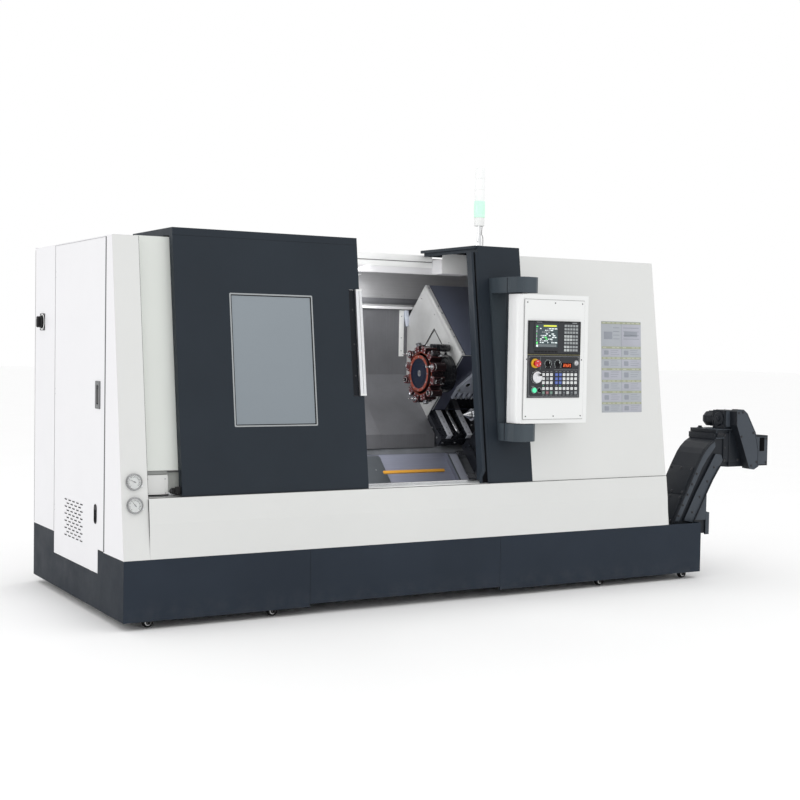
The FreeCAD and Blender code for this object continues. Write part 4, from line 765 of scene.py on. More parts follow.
dg = Piece("door_grip_bar")
z0, z1 = 1110, 1669
L = (z1 - z0) / 2 * math.sqrt(1 + LEAN ** 2)
m = FRONT(1329.5, (z0 + z1) / 2)
sect = [(-18.5, 0.3), (-18.5, 11), (-17.5, 14.5), (-14.5, 16.0), (14.5, 16.0), (17.5, 14.5), (18.5, 11), (18.5, 0.3)]
dg.plate(m @ basis((0, -L, 0), (1, 0, 0), (0, 0, 1), (0, -1, 0)) @ Matrix.Scale(-1, 4, (0, 0, 1)), sect, 0, 2 * L, "aluminium", 0.8)
dg.slab(m, -1.2, 1.2, -L + 10, L - 10, 15.7, 16.1, "seam_soft", 0)
for y in (-L + 5, L - 5):
    dg.slab(m, -17.5, 17.5, y - 4, y + 4, 0.5, 16.3, "white_plastic", 1.4)
dg.done("door", "handle_aluminium", replaces=("door_handle",))

dr = Piece("door_grip_recess")
m = FRONT(1294, (z0 + z1) / 2)
dr.slab(m, -15.6, 15.6, -L + 2, L - 2, -4.6, -2.9, "slate_deep", 0.2)
dr.ring(m, rr(-17.5, 17.5, -L - 1.5, L + 1.5, 3), rr(-15.2, 15.2, -L + 1, L - 1, 2), -3.0, 0.5, "slate_deep")
for y in (-L * 0.62, -8, L * 0.62):
    dr.screw(m @ Matrix.Translation((2, y, -2.9)), 4.6, 2.2, "screw_dark")
dr.done("door", "slate_paint")

dd = Piece("door_running_gear")
dd.slab(TOP(0, 0, 0), 262, 304, 62, 88, 640, 668, "black_plastic", 4.0, 3)
dd.slab(TOP(0, 0, 0), 276, 306.5, 56, 61, 640, 676, "black_plastic", 1.0)
dd.lathe(XAX(262, 75, 654), [(0, -6), (9, -6), (12, -4), (12, 0), (0, 0)], "screw_dark", 24)
dd.slab(TOP(0, 0, 0), 309, 1338, fy(640) + 8, fy(640) + 14, 629.5, 640, "rubber", 0.5)
dd.done("door", "slate_paint")

dl = Piece("door_lip_seam")
dl.slab(FRONT(823.5, 1906), -514, 514, -0.7, 0.7, -0.1, 0.25, "slate_deep", 0)
for x in (340, 583, 825, 1068, 1306):
    dl.screw(TOP(x, 760, 1944), 5, 2.0, "screw_dark")
    dl.screw(TOP(x, 320, 1944), 5, 2.0, "screw_dark")
for yy in (500, 640):
    dl.slab(TOP(823, yy, 1944), -500, 500, -0.8, 0.8, -0.05, 0.3, "slate_deep", 0)
dl.done("door", "slate_paint")

# ------------------------------------------------- front covers and the post
fc = Piece("front_cover_details")
fc.slab(FRONT(2880, 627.6), -488, 487, -1.3, 1.3, -0.4, 0.35, "seam_shadow", 0)
fc.slab(TOP(0, 0, 0), 134, 2100, 31, 36, 626.0, 628.4, "seam_shadow", 0.2)
fc.done("machine", "white_paint")

hcv = Piece("headstock_cover_seam_and_shadow")
# Grey strips under the headstock cover's lower edge: painted shadow on the step and inside the recess; the thin line on
# the front is a seam.
hcv.slab(TOP(0, 0, 0), 134, 1052, fy(755) + 52, fy(755) + 88, 751.2, 751.9, "seam_soft", 0.1)
hcv.slab(FRONT(594, 757.5, -50.0), -460, 460, -1.0, 1.0, -0.1, 0.4, "seam_soft", 0)
hcv.slab(TOP(0, 0, 0), 134, 1054, fy(745) + 89.0, fy(745) + 91.6, 738, 753, "seam_soft", 0.2)
hcv.done("machine", "white_paint")

hkp = Piece("headstock_kick_plate")
yzb = basis((0, 0, 0), (0, 1, 0), (0, 0, 1), (1, 0, 0))
hkp.plate(yzb, [(fy(637) + 50, 637), (fy(731) + 50, 731), (fy(731) + 53, 731), (fy(637) + 53, 637)], 134.5, 254, "white_front_shaded", 0.6)
# Grey band at the top of the kick plate: painted shadow under the cover's edge.
hkp.slab(TOP(0, 0, 0), 134.5, 254, fy(745) + 56, fy(745) + 60, 731, 757, "shadow_band_grey", 0.6)
hkp.slab(TOP(0, 0, 0), 134.5, 254, fy(634) + 46, fy(634) + 50, 631, 637, "black_hole", 0.4)
for x in (150, 240):
    for z in (650, 718):
        hkp.screw(FRONT(x, z, -50.0 * 0.9908), 3.0, 1.4, "screw_steel")
hkp.done("machine", "white_paint")

ps = Piece("post_seal_and_return")
yz = basis((0, 0, 0), (0, 1, 0), (0, 0, 1), (1, 0, 0))


def front_poly(p, pts, off0, off1, mat, bev=0.4):
    """Outline given as (x, z) on the leaning front plane."""
    k = math.sqrt(1 + LEAN ** 2)
    mm = FRONT(0, 336.5)
    p.plate(mm, [(x, (z - 336.5) * k) for x, z in pts], off0, off1, mat, bev)


front_poly(ps, [(2106.9, 631), (2106.9, 1907), (2092, 1907), (2092, 631)], -4.5, -0.6, "slate", 0.8)
front_poly(ps, [(2092.5, 631), (2092.5, 1907), (2078, 1907), (2078, 700), (2056, 668), (2056, 631)], -13.0, -7.0, "black_hole", 0.4)
front_poly(ps, [(2080, 1907), (2066, 1907), (2066, 698), (2043, 664), (2043, 631), (2057, 631), (2057, 662), (2080, 696)], -14.0, -1.5, "slate", 1.6)
ps.plate(yz, [(fy(631) + 4, 631), (fy(1907) + 4, 1907), (fy(1907) + 30, 1907), (fy(631) + 30, 631)], 2100.0, 2106.9, "slate", 0.5)
ps.done("machine", "slate_paint")

pd = Piece("post_details")
for x in (2130, 2250, 2370):
    for y in (300, 540, 760):
        pd.screw(TOP(x, y, 1944), 5, 2.0, "screw_dark")
pd.slab(TOP(2249, 0, 1944), -140, 140, 500, 501.4, -0.05, 0.3, "slate_deep", 0)
pd.slab(TOP(0, 0, 0), 2091, 2107.2, fy(1927) + 4, 806, 1927, 1943.6, "slate", 1.2)
pd.done("machine", "slate_paint")

# roof: seams, fixing screws and lifting eyes
rf = Piece("roof_details")
for x in (1062, 1850, 2640):
    rf.slab(TOP(x, 1180, 1899), -1.0, 1.0, -372, 368, -0.05, 0.35, "seam_soft", 0)
for x in range(120, 3340, 215):
    for y in (850, 1530):
        rf.screw(TOP(x, y, 1899), 4.5, 2.0)
for x, y in ((420, 1000), (420, 1420), (3100, 1000), (3100, 1420)):
    m = TOP(x, y, 1899)
    rf.lathe(m, [(0, 0), (26, 0), (26, 4), (24, 6), (13, 7), (11, 10), (0, 10)], "screw_steel", 28)
    pts = [(x + 17 * math.cos(a), y, 1899 + 25 + 17 * math.sin(a)) for a in [math.radians(t) for t in range(-90, 271, 30)]]
    rf.tube(pts, 5.0, "screw_steel", 10, 3)
# Roof beam bands and the roof box front in the brighter white, painted light on faces that sit in shade; a seam line
# between the bands.
rf.slab(TOP(0, 0, 0), 1064, 2170, 800.6, 806.4, 1880, 1916, "white_bright_and_painted_lit", 0.6)
rf.slab(TOP(0, 0, 0), 1064, 2170, 801.4, 806.2, 1843, 1874, "white_bright_and_painted_lit", 0.6)
rf.slab(TOP(0, 0, 0), 1064, 2170, 801.8, 806.2, 1874, 1880, "seam_soft", 0.3)
rf.slab(TOP(0, 0, 0), 2177, 2386, 698.4, 699.9, 1809, 1925, "white_bright_and_painted_lit", 0.6)
rf.done("machine", "white_paint")

# notice chart: cells with plain bars
nc = Piece("notice_chart")
x0, x1, z0, z1 = 2930, 3240, 1007, 1542
k = math.sqrt(1 + LEAN ** 2)
x0, x1 = 2933, 3233
m = FRONT((x0 + x1) / 2, (z0 + z1) / 2)
W2, H2 = (x1 - x0) / 2, (z1 - z0) / 2 * k
SH = Matrix.Identity(4)
SH[0][1] = 18.5 / H2
m = m @ SH
nc.plate(m, rr(-W2, W2, -H2, H2, 4), 0.05, 0.9, "chart_blue", 0.3)
rows = [0.0, 0.272, 0.388, 0.510, 0.640, 0.760, 0.882, 1.0]
for r in range(len(rows) - 1):
    ya, yb = H2 - rows[r] * 2 * H2, H2 - rows[r + 1] * 2 * H2
    nc.slab(m, -W2 + 2, W2 - 2, ya - 16, ya - 3, 0.8, 1.15, "chart_olive", 0.1)
    for sgn in (-1, 1):
        xa = -W2 + 3 if sgn < 0 else 2
        xb = -2 if sgn < 0 else W2 - 3
        for kk in range(4):
            if kk == 1 and r % 2:
                continue
            nc.slab(m, xa + 8 + kk * 34, xa + 8 + kk * 34 + 20 + 6 * ((kk + r) % 2), ya - 12, ya - 7, 1.1, 1.3, "chart_pale", 0)
        nc.slab(m, xa, xb, yb + 2, ya - 18, 0.8, 1.05, "chart_lilac" if (r + (sgn > 0)) % 2 else "chart_blue", 0.1)
        if r == 0:
            nc.slab(m, xa + (16 if sgn < 0 else 20), xa + (80 if sgn < 0 else 120), yb + (40 if sgn < 0 else 55), ya - 62, 1.0, 1.2, "chart_grey", 0.05)
            for j in range(4):
                nc.slab(m, xa + 86 if sgn < 0 else xa + 14, xb - 12, ya - 40 - j * 22, ya - 36 - j * 22, 1.0, 1.2, "chart_grey", 0)
        else:
            hgt = (ya - 18) - (yb + 2)
            nc.plate(m @ Matrix.Translation((xa + 34, (ya - 16 + yb) / 2, 0)), rr(-17, 17, -hgt * 0.3, hgt * 0.3, 4), 1.0, 1.2, "chart_grey", 0.05)
            for j in range(3):
                yy = ya - 26 - j * (hgt / 3.6)
                nc.slab(m, xa + 66, xb - 14 - 8 * ((r + j) % 3), yy - 1.6, yy + 1.6, 1.0, 1.2, "chart_grey", 0)
nc.slab(m, -1.0, 1.0, -H2 + 2, H2 - 16, 0.9, 1.25, "chart_grey", 0)
for sx_ in (-1, 1):
    for sz_ in (-1, 1):
        nc.screw(m @ Matrix.Translation((sx_ * (W2 - 5), sz_ * (H2 - 5), 0.9)), 2.4, 1.2)
nc.done("machine", "white_paint")

# ------------------------------------------------------------ control unit
ca = Piece("arm_hinge_caps")
m = TOP(2262, -30, 1765)
ca.lathe(m, [(0, 0), (27, 0), (27, 1.5), (25, 2.4), (12, 2.6), (11, 1.8), (0, 1.8)], "screw_dark", 32)
for k in range(4):
    ca.screw(m @ Matrix.Rotation(math.pi / 4 + k * math.pi / 2, 4, "Z") @ Matrix.Translation((19, 0, 2.2)), 3.0, 1.6)
mb = basis((2262, -30, 862), (1, 0, 0), (0, -1, 0), (0, 0, -1))
ca.lathe(mb, [(0, 0), (27, 0), (27, 2.5), (25, 4.0), (0, 4.4)], "screw_dark", 32)
ca.slab(TOP(0, 0, 0), 2170.4, 2171.9, 8, 12, 866, 1761, "slate_deep", 0)
ca.done("machine", "slate_paint")

cb = Piece("control_box_screws")
for x in (2241, 2429, 2617):
    for z in (1002, 1627):
        cb.screw(PANEL(x, z, -88), 3.6, 1.8, "screw_dark")
for x in (2241, 2617):
    cb.screw(PANEL(x, 1315, -88), 3.6, 1.8, "screw_dark")
cb.ring(PANEL(2429, 1314.5, -84.9), rr(-206.5, 206.5, -331, 331, 4), rr(-203.8, 203.8, -328.4, 328.4, 3), 0.0, 0.45, "seam_soft")
for z in (1010, 1624):
    for x in (2260, 2430, 2630):
        cb.screw(YPOS(x, 60, z), 4.0, 2.0)
for r in range(9):
    cb.plate(YPOS(2440, 60, 1180 + r * 22), rr(-90, 90, -4, 4, 3.9, 4), 0.05, 0.5, "black_hole", 0.0)
    cb.plate(YPOS(2440, 60, 1180 + r * 22), [(-92, 3.4), (92, 3.4), (88, 8.0), (-88, 8.0)], 0.05, 4.0, "white_front_shaded", 1.4)
cb.slab(RIGHT(-12, 1317, 0.0, 2662), -60, 62, -330, 330, -0.05, 0.8, "white_front_shaded", 0.3)
for z in (1000, 1634):
    for y in (-62, 38):
        cb.screw(RIGHT(y, z, 0.8, 2662), 3.2, 1.6)
cb.done("control", "white_paint")

du = Piece("display_details")
Y = -95.0
du.ring(PANEL(2424.5, 1435, Y), rr(-176, 176, -90, 90, 5), rr(-172, 172, -86, 86, 4), -0.1, 0.8, "black_plastic")
du.ring(PANEL(2369, 1446, Y), rr(-86, 86, -72, 72, 7), rr(-75, 75, -63.5, 63.5, 2), -0.1, 2.4, "black_panel")
du.plate(PANEL(2369, 1446, Y), rr(-76, 76, -64.5, 64.5, 2), 0.02, 0.4, "scr_dark", 0.0)
s = PANEL(2369, 1446, Y - 0.4)
du.slab(s, -22, 66, 50, 58, 0.0, 0.25, "scr_yellow", 0)
du.slab(s, -70, -58, -62, -50, 0.0, 0.25, "scr_white", 0)
du.slab(s, -70, -61, -47, -34, 0.0, 0.25, "scr_green", 0)
du.slab(s, -71, -60, 47, 53, 0.0, 0.25, "scr_green", 0)
for j in range(8):
    du.slab(s, -70, -66, 36 - j * 9, 40 - j * 9, 0.0, 0.25, "scr_white" if j % 3 else "scr_green", 0)
rg = random.Random(3)
for j in range(9):
    xx = -46
    while xx < 58:
        w = rg.choice((6, 9, 13, 17))
        if rg.random() < 0.62:
            du.slab(s, xx, xx + w, 36 - j * 9.6, 41.5 - j * 9.6, 0.0, 0.25, rg.choice(("scr_white", "scr_white", "scr_white", "line_grey", "scr_green" if j > 4 else "scr_white")), 0)
        xx += w + 4
for j in range(2):
    du.slab(s, -54, 66, -52 - j * 6.5, -49.4 - j * 6.5, 0.0, 0.25, "line_grey", 0)
for i in range(7):
    du.slab(PANEL(2296 + i * 23.2, 1358.5, Y), -9, 9, -4.4, 4.4, 0.0, 2.2, "black_plastic", 0.9)
for cidx in range(5):
    for ridx in range(8):
        x = 2487 + 9.5 + cidx * 19.5
        z = 1509.5 - 9 - ridx * 18.4
        gmat = "key_grey"
        if ridx in (3, 4) and cidx < 3:
            gmat = "key_light"
        if ridx in (6, 7) and cidx < 2:
            gmat = "key_light"
        dz = -3 * (ridx > 2) - 3 * (ridx > 5)
        du.slab(PANEL(x, z + dz + 2, Y), -7.8, 7.8, -6.6, 6.6, 0.0, 2.4, gmat, 1.0)
        du.slab(PANEL(x, z + dz + 2, Y - 2.35), -3.6, 3.6, -0.9, 0.9, 0.0, 0.2, "line_grey" if gmat == "key_light" else "key_light", 0)
du.slab(PANEL(2318, 1520, Y), -18, 18, -1.6, 1.6, 0.0, 0.3, "line_grey", 0)
du.slab(PANEL(2560, 1519, Y), -16, 16, -2.4, 2.4, 0.0, 0.3, "line_grey", 0)
du.done("control", "black_plastic")

op = Piece("operator_panel_details")
Y = -92.0
P0 = PANEL(2425.2, 1222, Y)
op.ring(P0, rr(-172, 172, -111, 111, 3), rr(-170.6, 170.6, -109.6, 109.6, 3), -0.05, 0.4, "line_grey")
op.slab(PANEL(2425, 1341.4, -92.6), -178, 178, -1.0, 1.0, 0.0, 0.6, "line_olive", 0)
op.slab(PANEL(2331.6, 1293, Y), -0.6, 0.6, -35, 35, 0.0, 0.35, "line_grey", 0)
op.slab(PANEL(2510, 1258.5, Y), -82, 82, -0.6, 0.6, 0.0, 0.35, "line_grey", 0)


def key(x, z, mat, w=8.6, h=7.5):
    op.slab(PANEL(x, z, Y), -w, w, -h, h, -0.1, 3.0, mat, 1.4, 3)
    op.slab(PANEL(x, z, Y - 2.95), -w * 0.45, w * 0.45, -1.0, 1.0, 0.0, 0.2, "line_grey", 0)


for r, z in enumerate((1232, 1209, 1187)):
    for x in (2353.6, 2380.5, 2407.5):
        key(x, z, "key_grey" if (r == 1 and x == 2380.5) else "key_white")
    for x in (2442.6, 2468.6):
        key(x, z, "key_blue")
    for x in (2495, 2522, 2548, 2575):
        key(x, z, "key_white")
for r, z in enumerate((1155, 1132)):
    for i, x in enumerate((2355, 2381, 2408, 2443, 2469, 2496, 2522, 2549, 2577)):
        mt = "key_white"
        if r == 1:
            mt = ("key_green", "key_red", "key_green", "key_light", "key_grey", "key_dark", "key_light", "key_dark", "key_grey")[i]
        key(x, z, mt)
for i, x in enumerate((2355, 2381, 2408, 2443, 2469, 2496, 2522, 2549, 2577)):
    op.slab(PANEL(x, 1170.5, Y), -2.2, 2.2, -1.6, 1.6, 0.0, 0.7, "lamp_green" if i in (0, 4) else "key_grey", 0.3)
    op.slab(PANEL(x, 1119, Y), -7, 7, -0.9, 0.9, 0.0, 0.25, "line_grey", 0)
    if i < 9:
        op.slab(PANEL(x, 1248, Y), -7, 7, -0.9, 0.9, 0.0, 0.25, "line_grey", 0)
for x, z in ((2384, 1290.5), (2450.8, 1291.0)):
    mm = PANEL(x, z, Y)
    op.hoop(mm, 27.5, 18.0, 0.0, 0.5, "black_plastic", 48, 0.1)
    for kx in range(16):
        a = math.radians(-135 + 270 * kx / 15)
        op.slab(mm @ Matrix.Rotation(-a, 4, "Z"), -0.6, 0.6, 20.5, 24.5 if kx % 3 else 26.5, 0.4, 0.75, "scr_white", 0)
op.plate(PANEL(2514, 1283, Y), rr(-33, 33, -14, 14, 2), 0.0, 1.0, "black_hole", 0.3)
for i in range(4):
    xx = 2493 + i * 14
    for (a0, a1, b0, b1) in ((-3.6, 3.6, 6.4, 8.0), (-3.6, 3.6, -0.8, 0.8), (-3.6, 3.6, -8.0, -6.4), (3.0, 4.4, 0.8, 6.4), (3.0, 4.4, -6.4, -0.8), (-4.4, -3.0, 0.8, 6.4) if i % 2 else (-4.4, -3.0, -6.4, -0.8)):
        op.slab(PANEL(xx, 1283, Y - 1.0), a0, a1, b0, b1, 0.0, 0.2, "led_orange", 0)
op.lathe(PANEL(2294.5, 1293, Y), [(11.4, 0), (25.5, 0), (26, 1), (25.6, 7), (23.5, 10), (19, 11), (15, 9.6), (13.2, 4), (12.4, 2)], "estop_yellow", 56)
op.hoop(PANEL(2290.6, 1145.6, Y), 17.6, 14.6, 0.0, 2.8, "screw_steel", 40)
op.hoop(PANEL(2578.5, 1296.8, Y), 15.6, 12.6, 0.0, 1.2, "screw_steel", 40)
op.hoop(PANEL(2305.4, 1217.5, Y), 36.5, 21.5, 0.0, 0.55, "screw_dark", 56, 0.1)
for kx in range(50):
    op.slab(PANEL(2305.4, 1217.5, Y) @ Matrix.Rotation(2 * math.pi * kx / 50, 4, "Z"), -0.45, 0.45, 32.5 if kx % 5 else 31.8, 35.5, 0.5, 0.8, "scr_white", 0)
op.hoop(PANEL(2328.6, 1145.5, Y), 15.5, 12.6, 0.0, 0.45, "line_grey", 32, 0.1)
op.slab(PANEL(2284, 1167, Y), -9, 9, -1, 1, 0, 0.25, "line_grey", 0)
for sx_ in (-1, 1):
    for sz_ in (-1, 1):
        op.screw(P0 @ Matrix.Translation((sx_ * 165.5, sz_ * 104.5, 0.0)), 2.2, 1.1, "screw_steel")
op.done("control", "black_plastic")

es = Piece("estop_mushroom")
mm = PANEL(2294.5, 1293, -80)
es.lathe(mm, [(0, 0), (11, 0), (11, 33.4), (14.5, 34.0), (19.0, 37.0), (20.3, 40.0), (20.3, 43.0), (18.5, 45.6), (13, 46.7), (0, 46.9)], "estop_red", 56)
for a in (20, 140, 260):
    q = mm @ Matrix.Rotation(math.radians(a), 4, "Z") @ Matrix.Translation((0, 12.2, 46.3))
    es.plate(q, [(-4.2, -1.2), (1.6, -1.2), (1.6, -3.2), (5.0, 0), (1.6, 3.2), (1.6, 1.2), (-4.2, 1.2)], 0.0, 0.55, "key_white", 0.1)
es.done("estop", "red_plastic", replaces=("estop_button",))

sb = Piece("start_lens")
mm = PANEL(2290.6, 1145.6, -80)
sb.lathe(mm, [(0, 0), (11, 0), (11, 12.4), (10, 12.6), (10, 16.9), (14, 16.9), (14, 21.6), (12.6, 23.3), (8, 23.8), (0, 24.0)], "lamp_green", 48)
sb.done("start", "green_plastic", replaces=("start_button",))


def knob(name, x, z, r, h, body, node, mat="black_plastic", slot="black_plastic", stem=4.0):
    p = Piece(name)
    mm = PANEL(x, z, -80)
    p.lathe(mm, [(0, 0), (stem, 0), (stem, 12.7), (r, 12.7), (r, 14.0), (r * 0.93, 12.6 + h), (r * 0.62, 12.6 + h + 0.8), (0, 12.6 + h + 0.8)], mat, 48)
    p.plate(mm, rr(-r * 0.30, r * 0.30, -r * 0.93, r * 0.93, r * 0.28), 12.6 + h, 21.4 + h, mat, 1.4, 3)
    p.slab(mm, -0.7, 0.7, r * 0.2, r * 0.88, 21.3 + h, 21.7 + h, "scr_white", 0)
    for kx in range(24):
        p.slab(mm @ Matrix.Rotation(2 * math.pi * kx / 24, 4, "Z"), -0.6, 0.6, r * 0.92, r * 1.0, 13.4, 12.0 + h, mat, 0.2)
    p.done(body, slot, replaces=(node,))


knob("feed_override_grip", 2384.0, 1290.5, 15.0, 6.0, "feed_knob", "feed_override_knob")
knob("spindle_override_grip", 2450.8, 1291.0, 15.0, 6.0, "speed_knob", "spindle_override_knob")
knob("mode_grip", 2328.6, 1145.5, 12.0, 5.0, "mode_knob", "mode_switch")
ky = Piece("key_lock_barrel")
mm = PANEL(2578.5, 1296.8, -80)
ky.lathe(mm, [(0, 0), (7, 0), (7, 12.7), (12, 12.7), (12, 15.4), (11, 16.8), (0, 16.8)], "chrome", 40)
ky.plate(mm, rr(-2.0, 2.0, -9.5, 9.5, 1.8), 16.6, 25.4, "aluminium", 0.8, 3)
ky.done("key_lock", "handle_aluminium", replaces=("key_switch",))

hw = Piece("handwheel_dial")
mm = PANEL(2305.4, 1217.5, -80)
hw.lathe(mm, [(0, 0), (7, 0), (7, 12.6), (20, 12.6), (20, 18.8), (29.6, 19.0), (31, 20.2), (31, 26.2), (29.4, 27.8), (23.4, 28.0), (21.8, 26.6), (9, 26.2), (8, 27.6), (0, 28.0)], "aluminium", 72)
for kx in range(60):
    hw.slab(mm @ Matrix.Rotation(2 * math.pi * kx / 60, 4, "Z"), -0.65, 0.65, 30.4, 31.6, 20.6, 26.0, "aluminium", 0.25)
mk_ = mm @ Matrix.Translation((16.6, 12.5, 0))
hw.lathe(mk_, [(0, 26), (3, 26), (3, 28.5), (6, 30), (6.2, 38), (5, 42), (3, 43), (0, 43)], "black_plastic", 28)
hw.done("hand_wheel", "handle_aluminium", replaces=("handwheel",))

# ------------------------------------------------------------ signal tower
st = Piece("signal_tower_lamps")
m = TOP(2146, 262, 1944)
st.lathe(m, [(0, 0), (24, 0), (24, 4.6), (22.5, 6), (0, 6)], "chrome", 40)
st.lathe(m, [(0, 5.8), (16.5, 5.8), (16.5, 20.5), (14.6, 22.5), (0, 22.5)], "chrome", 6, 20)
st.lathe(m, [(12.5, 22), (13, 24), (12.6, 34), (10.4, 60), (9.2, 88), (9.0, 116), (0, 116)], "chrome", 32)
st.lathe(m, [(0, 112), (24, 112), (28.4, 114.5), (29, 118), (29, 158), (28, 161.6), (0, 161.6)], "white_plastic", 48)
st.lathe(m, [(29.4, 161.2), (31, 163), (31, 172), (30.2, 173.4), (30.2, 243), (31, 245.5), (31, 250), (29.5, 252), (0, 252)], "lamp_mint", 48)
st.lathe(m, [(27.2, 251.4), (28, 253), (28, 431), (26.8, 433.6), (20, 435.7), (0, 435.9)], "lamp_clear", 48)
for z in (314, 376):
    st.hoop(m, 28.5, 27.4, z, z + 3.0, "white_plastic", 48, 0.4)
for kx in range(24):
    st.slab(m @ Matrix.Rotation(2 * math.pi * kx / 24, 4, "Z"), -0.5, 0.5, 29.9, 30.75, 176, 240, "lamp_mint", 0.2)
st.tube([(2158, 250, 2056), (2156, 251, 2014), (2164, 250, 1992), (2165, 250, 1944.5)], 1.8, "cable_black", 8, 5)
st.done("machine", "tower_plastic", replaces=("signal_tower",))

# ----------------------------------------------------- inside: fixed pieces
ib = Piece("chute_bar")
ib.slab(basis((1948, 615, 647), (1, 0, 0), (0, C, C), (0, -C, C)), -194, 219, -10, 10, -5, 5, "orange_bar", 2.6, 3)
ib.done("machine", "stainless")

gs = Piece("guide_strip_details")
gs.slab(TOP(0, 0, 0), 1064, 3246, 1197.4, 1199.9, 1604, 1620, "white_side_lit", 0.6)
gs.slab(TOP(0, 0, 0), 1064, 3246, 1238.6, 1241.9, 1634, 1672, "stainless_dark", 0.5)
for x in range(1120, 3240, 160):
    gs.screw(basis((x, 1241.8, 1688), (1, 0, 0), (0, 0, 1), (0, -1, 0)), 4.0, 2.2)
gs.done("machine", "stainless")

lg = Piece("work_lamp")
lg.slab(TOP(0, 0, 0), 1500, 1900, 1180, 1230, 1806, 1848, "aluminium", 6.0, 3)
lg.slab(TOP(0, 0, 0), 1512, 1888, 1186, 1224, 1803.6, 1807, "lamp_clear", 1.0)
lg.done("machine", "stainless")

ch = Piece("chute_trim_and_painted_light")
# Edge trims in the darker chute tone, painted shade.
for x0_, x1_ in ((1817.0, 1821.5), (2293.5, 2298.0)):
    ch.slab(basis((0, 572, 511), (1, 0, 0), (0, C, C), (0, -C, C)), x0_, x1_, -298, 298, -2.0, 2.0, "chute_painted_shade", 0.8)
for x in (1100, 1420, 1760):
    for t in (-200, 0, 200):
        ch.screw(basis((x, 572 + t * C, 510.6 + t * C), (1, 0, 0), (0, C, C), (0, -C, C)), 4.0, 2.0)
for t in (-240, -80, 80, 240):
    ch.screw(basis((2330, 572 + t * C, 510.6 + t * C), (1, 0, 0), (0, C, C), (0, -C, C)), 4.0, 2.0)
# Tone zones laid over the chute sheet: painted shade on the left part and the dark line, painted light in the middle
# and on the band.
ch.slab(SLOPE(0, 0, -43.8), 1066, 1816, 470, 1070, 0.05, 1.2, "chute_painted_shade", 0.4)
ch.slab(SLOPE(0, 0, -43.8), 2305, 2360, 470, 1070, 0.05, 1.2, "chute_band_painted_lit", 0.4)
ch.slab(SLOPE(0, 0, -73.3), 1823, 2292, 390, 1102, 0.05, 1.0, "chute_painted_lit", 0.3)
ch.slab(SLOPE(0, 0, -43.8), 2297, 2304, 470, 1070, 0.05, 2.4, "chute_painted_shade", 0.6)
ch.done("machine", "stainless")

bk = Piece("bulkhead_details")
m = XAX(1060, 500, 980)
bk.hoop(m, 168, 158, 0.0, 4.0, "stainless", 64, 1.0)
for kx in range(12):
    a = 2 * math.pi * kx / 12
    bk.screw(m @ Matrix.Translation((163 * math.cos(a), 163 * math.sin(a), 3.6)), 3.6, 2.4)
bk.done("machine", "stainless")

# ---------------------------------------------------------- spindle and chuck
cf = Piece("chuck_face_details")
m = XAX(1168.3, 500, 980)
for r_ in (56, 84, 112, 138):
    cf.hoop(m, r_ + 0.7, r_ - 0.7, -0.05, 0.35, "screw_dark", 64, 0.05)
for a in (0, 120, 240):
    mm = m @ Matrix.Rotation(math.radians(a), 4, "Z")
    cf.slab(mm, -21.5, -20.1, 46, 148, -0.05, 0.45, "black_hole", 0)
    cf.slab(mm, 20.1, 21.5, 46, 148, -0.05, 0.45, "black_hole", 0)
    mm2 = m @ Matrix.Rotation(math.radians(a + 60), 4, "Z")
    for r_ in (70, 122):
        cf.screw(mm2 @ Matrix.Translation((0, r_, 0)), 7.0, 3.6, "screw_dark", 20)
cf.hoop(m, 45.5, 39, -0.05, 2.6, "turned_steel", 56, 1.0)
for kx in range(3):
    cf.lathe(XAX(1100 + 22 * kx, 500, 980), [(152.0, 0), (152.35, 0.6), (152.35, 1.8), (152.0, 2.4)], "screw_dark", 72)
cf.done("spindle", "rail_steel")
for i in range(3):
    jd = Piece("jaw_%d_details" % (i + 1))
    m = XAX(1168.7, 500, 980) @ Matrix.Rotation(math.radians(120 * i), 4, "Z")
    for kx in range(9):
        jd.slab(m, -20.4, 20.4, 56 + kx * 3.0, 57.2 + kx * 3.0, 22.9, 23.7, "screw_steel", 0.2)
    jd.screw(m @ Matrix.Translation((0, 100, 45.3)), 8.5, 4.0, "screw_dark", 22)
    jd.screw(m @ Matrix.Translation((0, 124, 45.3)), 8.5, 4.0, "screw_dark", 22)
    jd.done("jaw_%d" % (i + 1), "rail_steel")

# ------------------------------------------------------------------ carriage
cc = Piece("carriage_trim")
# bright edge strip along the outer edge of the side plate, with its screws
cc.slab(SLOPE(0, 0, 527), 2250.4, 2276, 1348, 1948, 0.05, 2.4, "strip_bright", 0.9)
# Top sheet in the lighter navy copy, painted light.
cc.slab(SLOPE(0, 0, 527), 2281, 2597, 1349, 1947, 0.05, 2.0, "navy_lit_copy", 0.8)
cc.slab(SLOPE(0, 0, 527), 2276.5, 2280.5, 1349, 1947, 0.02, 1.0, "black_hole", 0)
for p in (1372, 1500, 1560, 1700, 1760, 1920):
    cc.screw(SLOPE(2263, p, 529.4), 5.4, 3.6, "screw_steel", 20)
    cc.screw(SLOPE(2588, p, 529.0), 5.0, 3.0, "screw_dark", 18)
cc.slab(PFACE(2250, 0, 0), -1947, -1349, 498, 526, 0.05, 1.6, "plate_bright", 0.6)
# rim of the slot the turret's housing comes through
for p0, p1, q0, q1 in ((1348, 1680, 414.5, 420.5), (1348, 1680, 258.5, 264.5), (1676.5, 1682.5, 262, 417)):
    cc.slab(PFACE(2250, 0, 0), -p1, -p0, q0, q1, 0.05, 2.6, "screw_dark", 0.7)
for p, q in ((1380, -20), (1600, -20), (1900, -20), (1920, 200), (1920, 440), (1740, 480), (1500, 480)):
    cc.screw(PFACE(2250, p, q), 4.6, 2.6)
cc.slab(SLOPE(0, 1949, 0), 2252, 2598, 0.05, 1.2, -40, 525, "plate_bright", 0.3)
cc.done("carriage", "stainless")

cs = Piece("slide_way_caps")
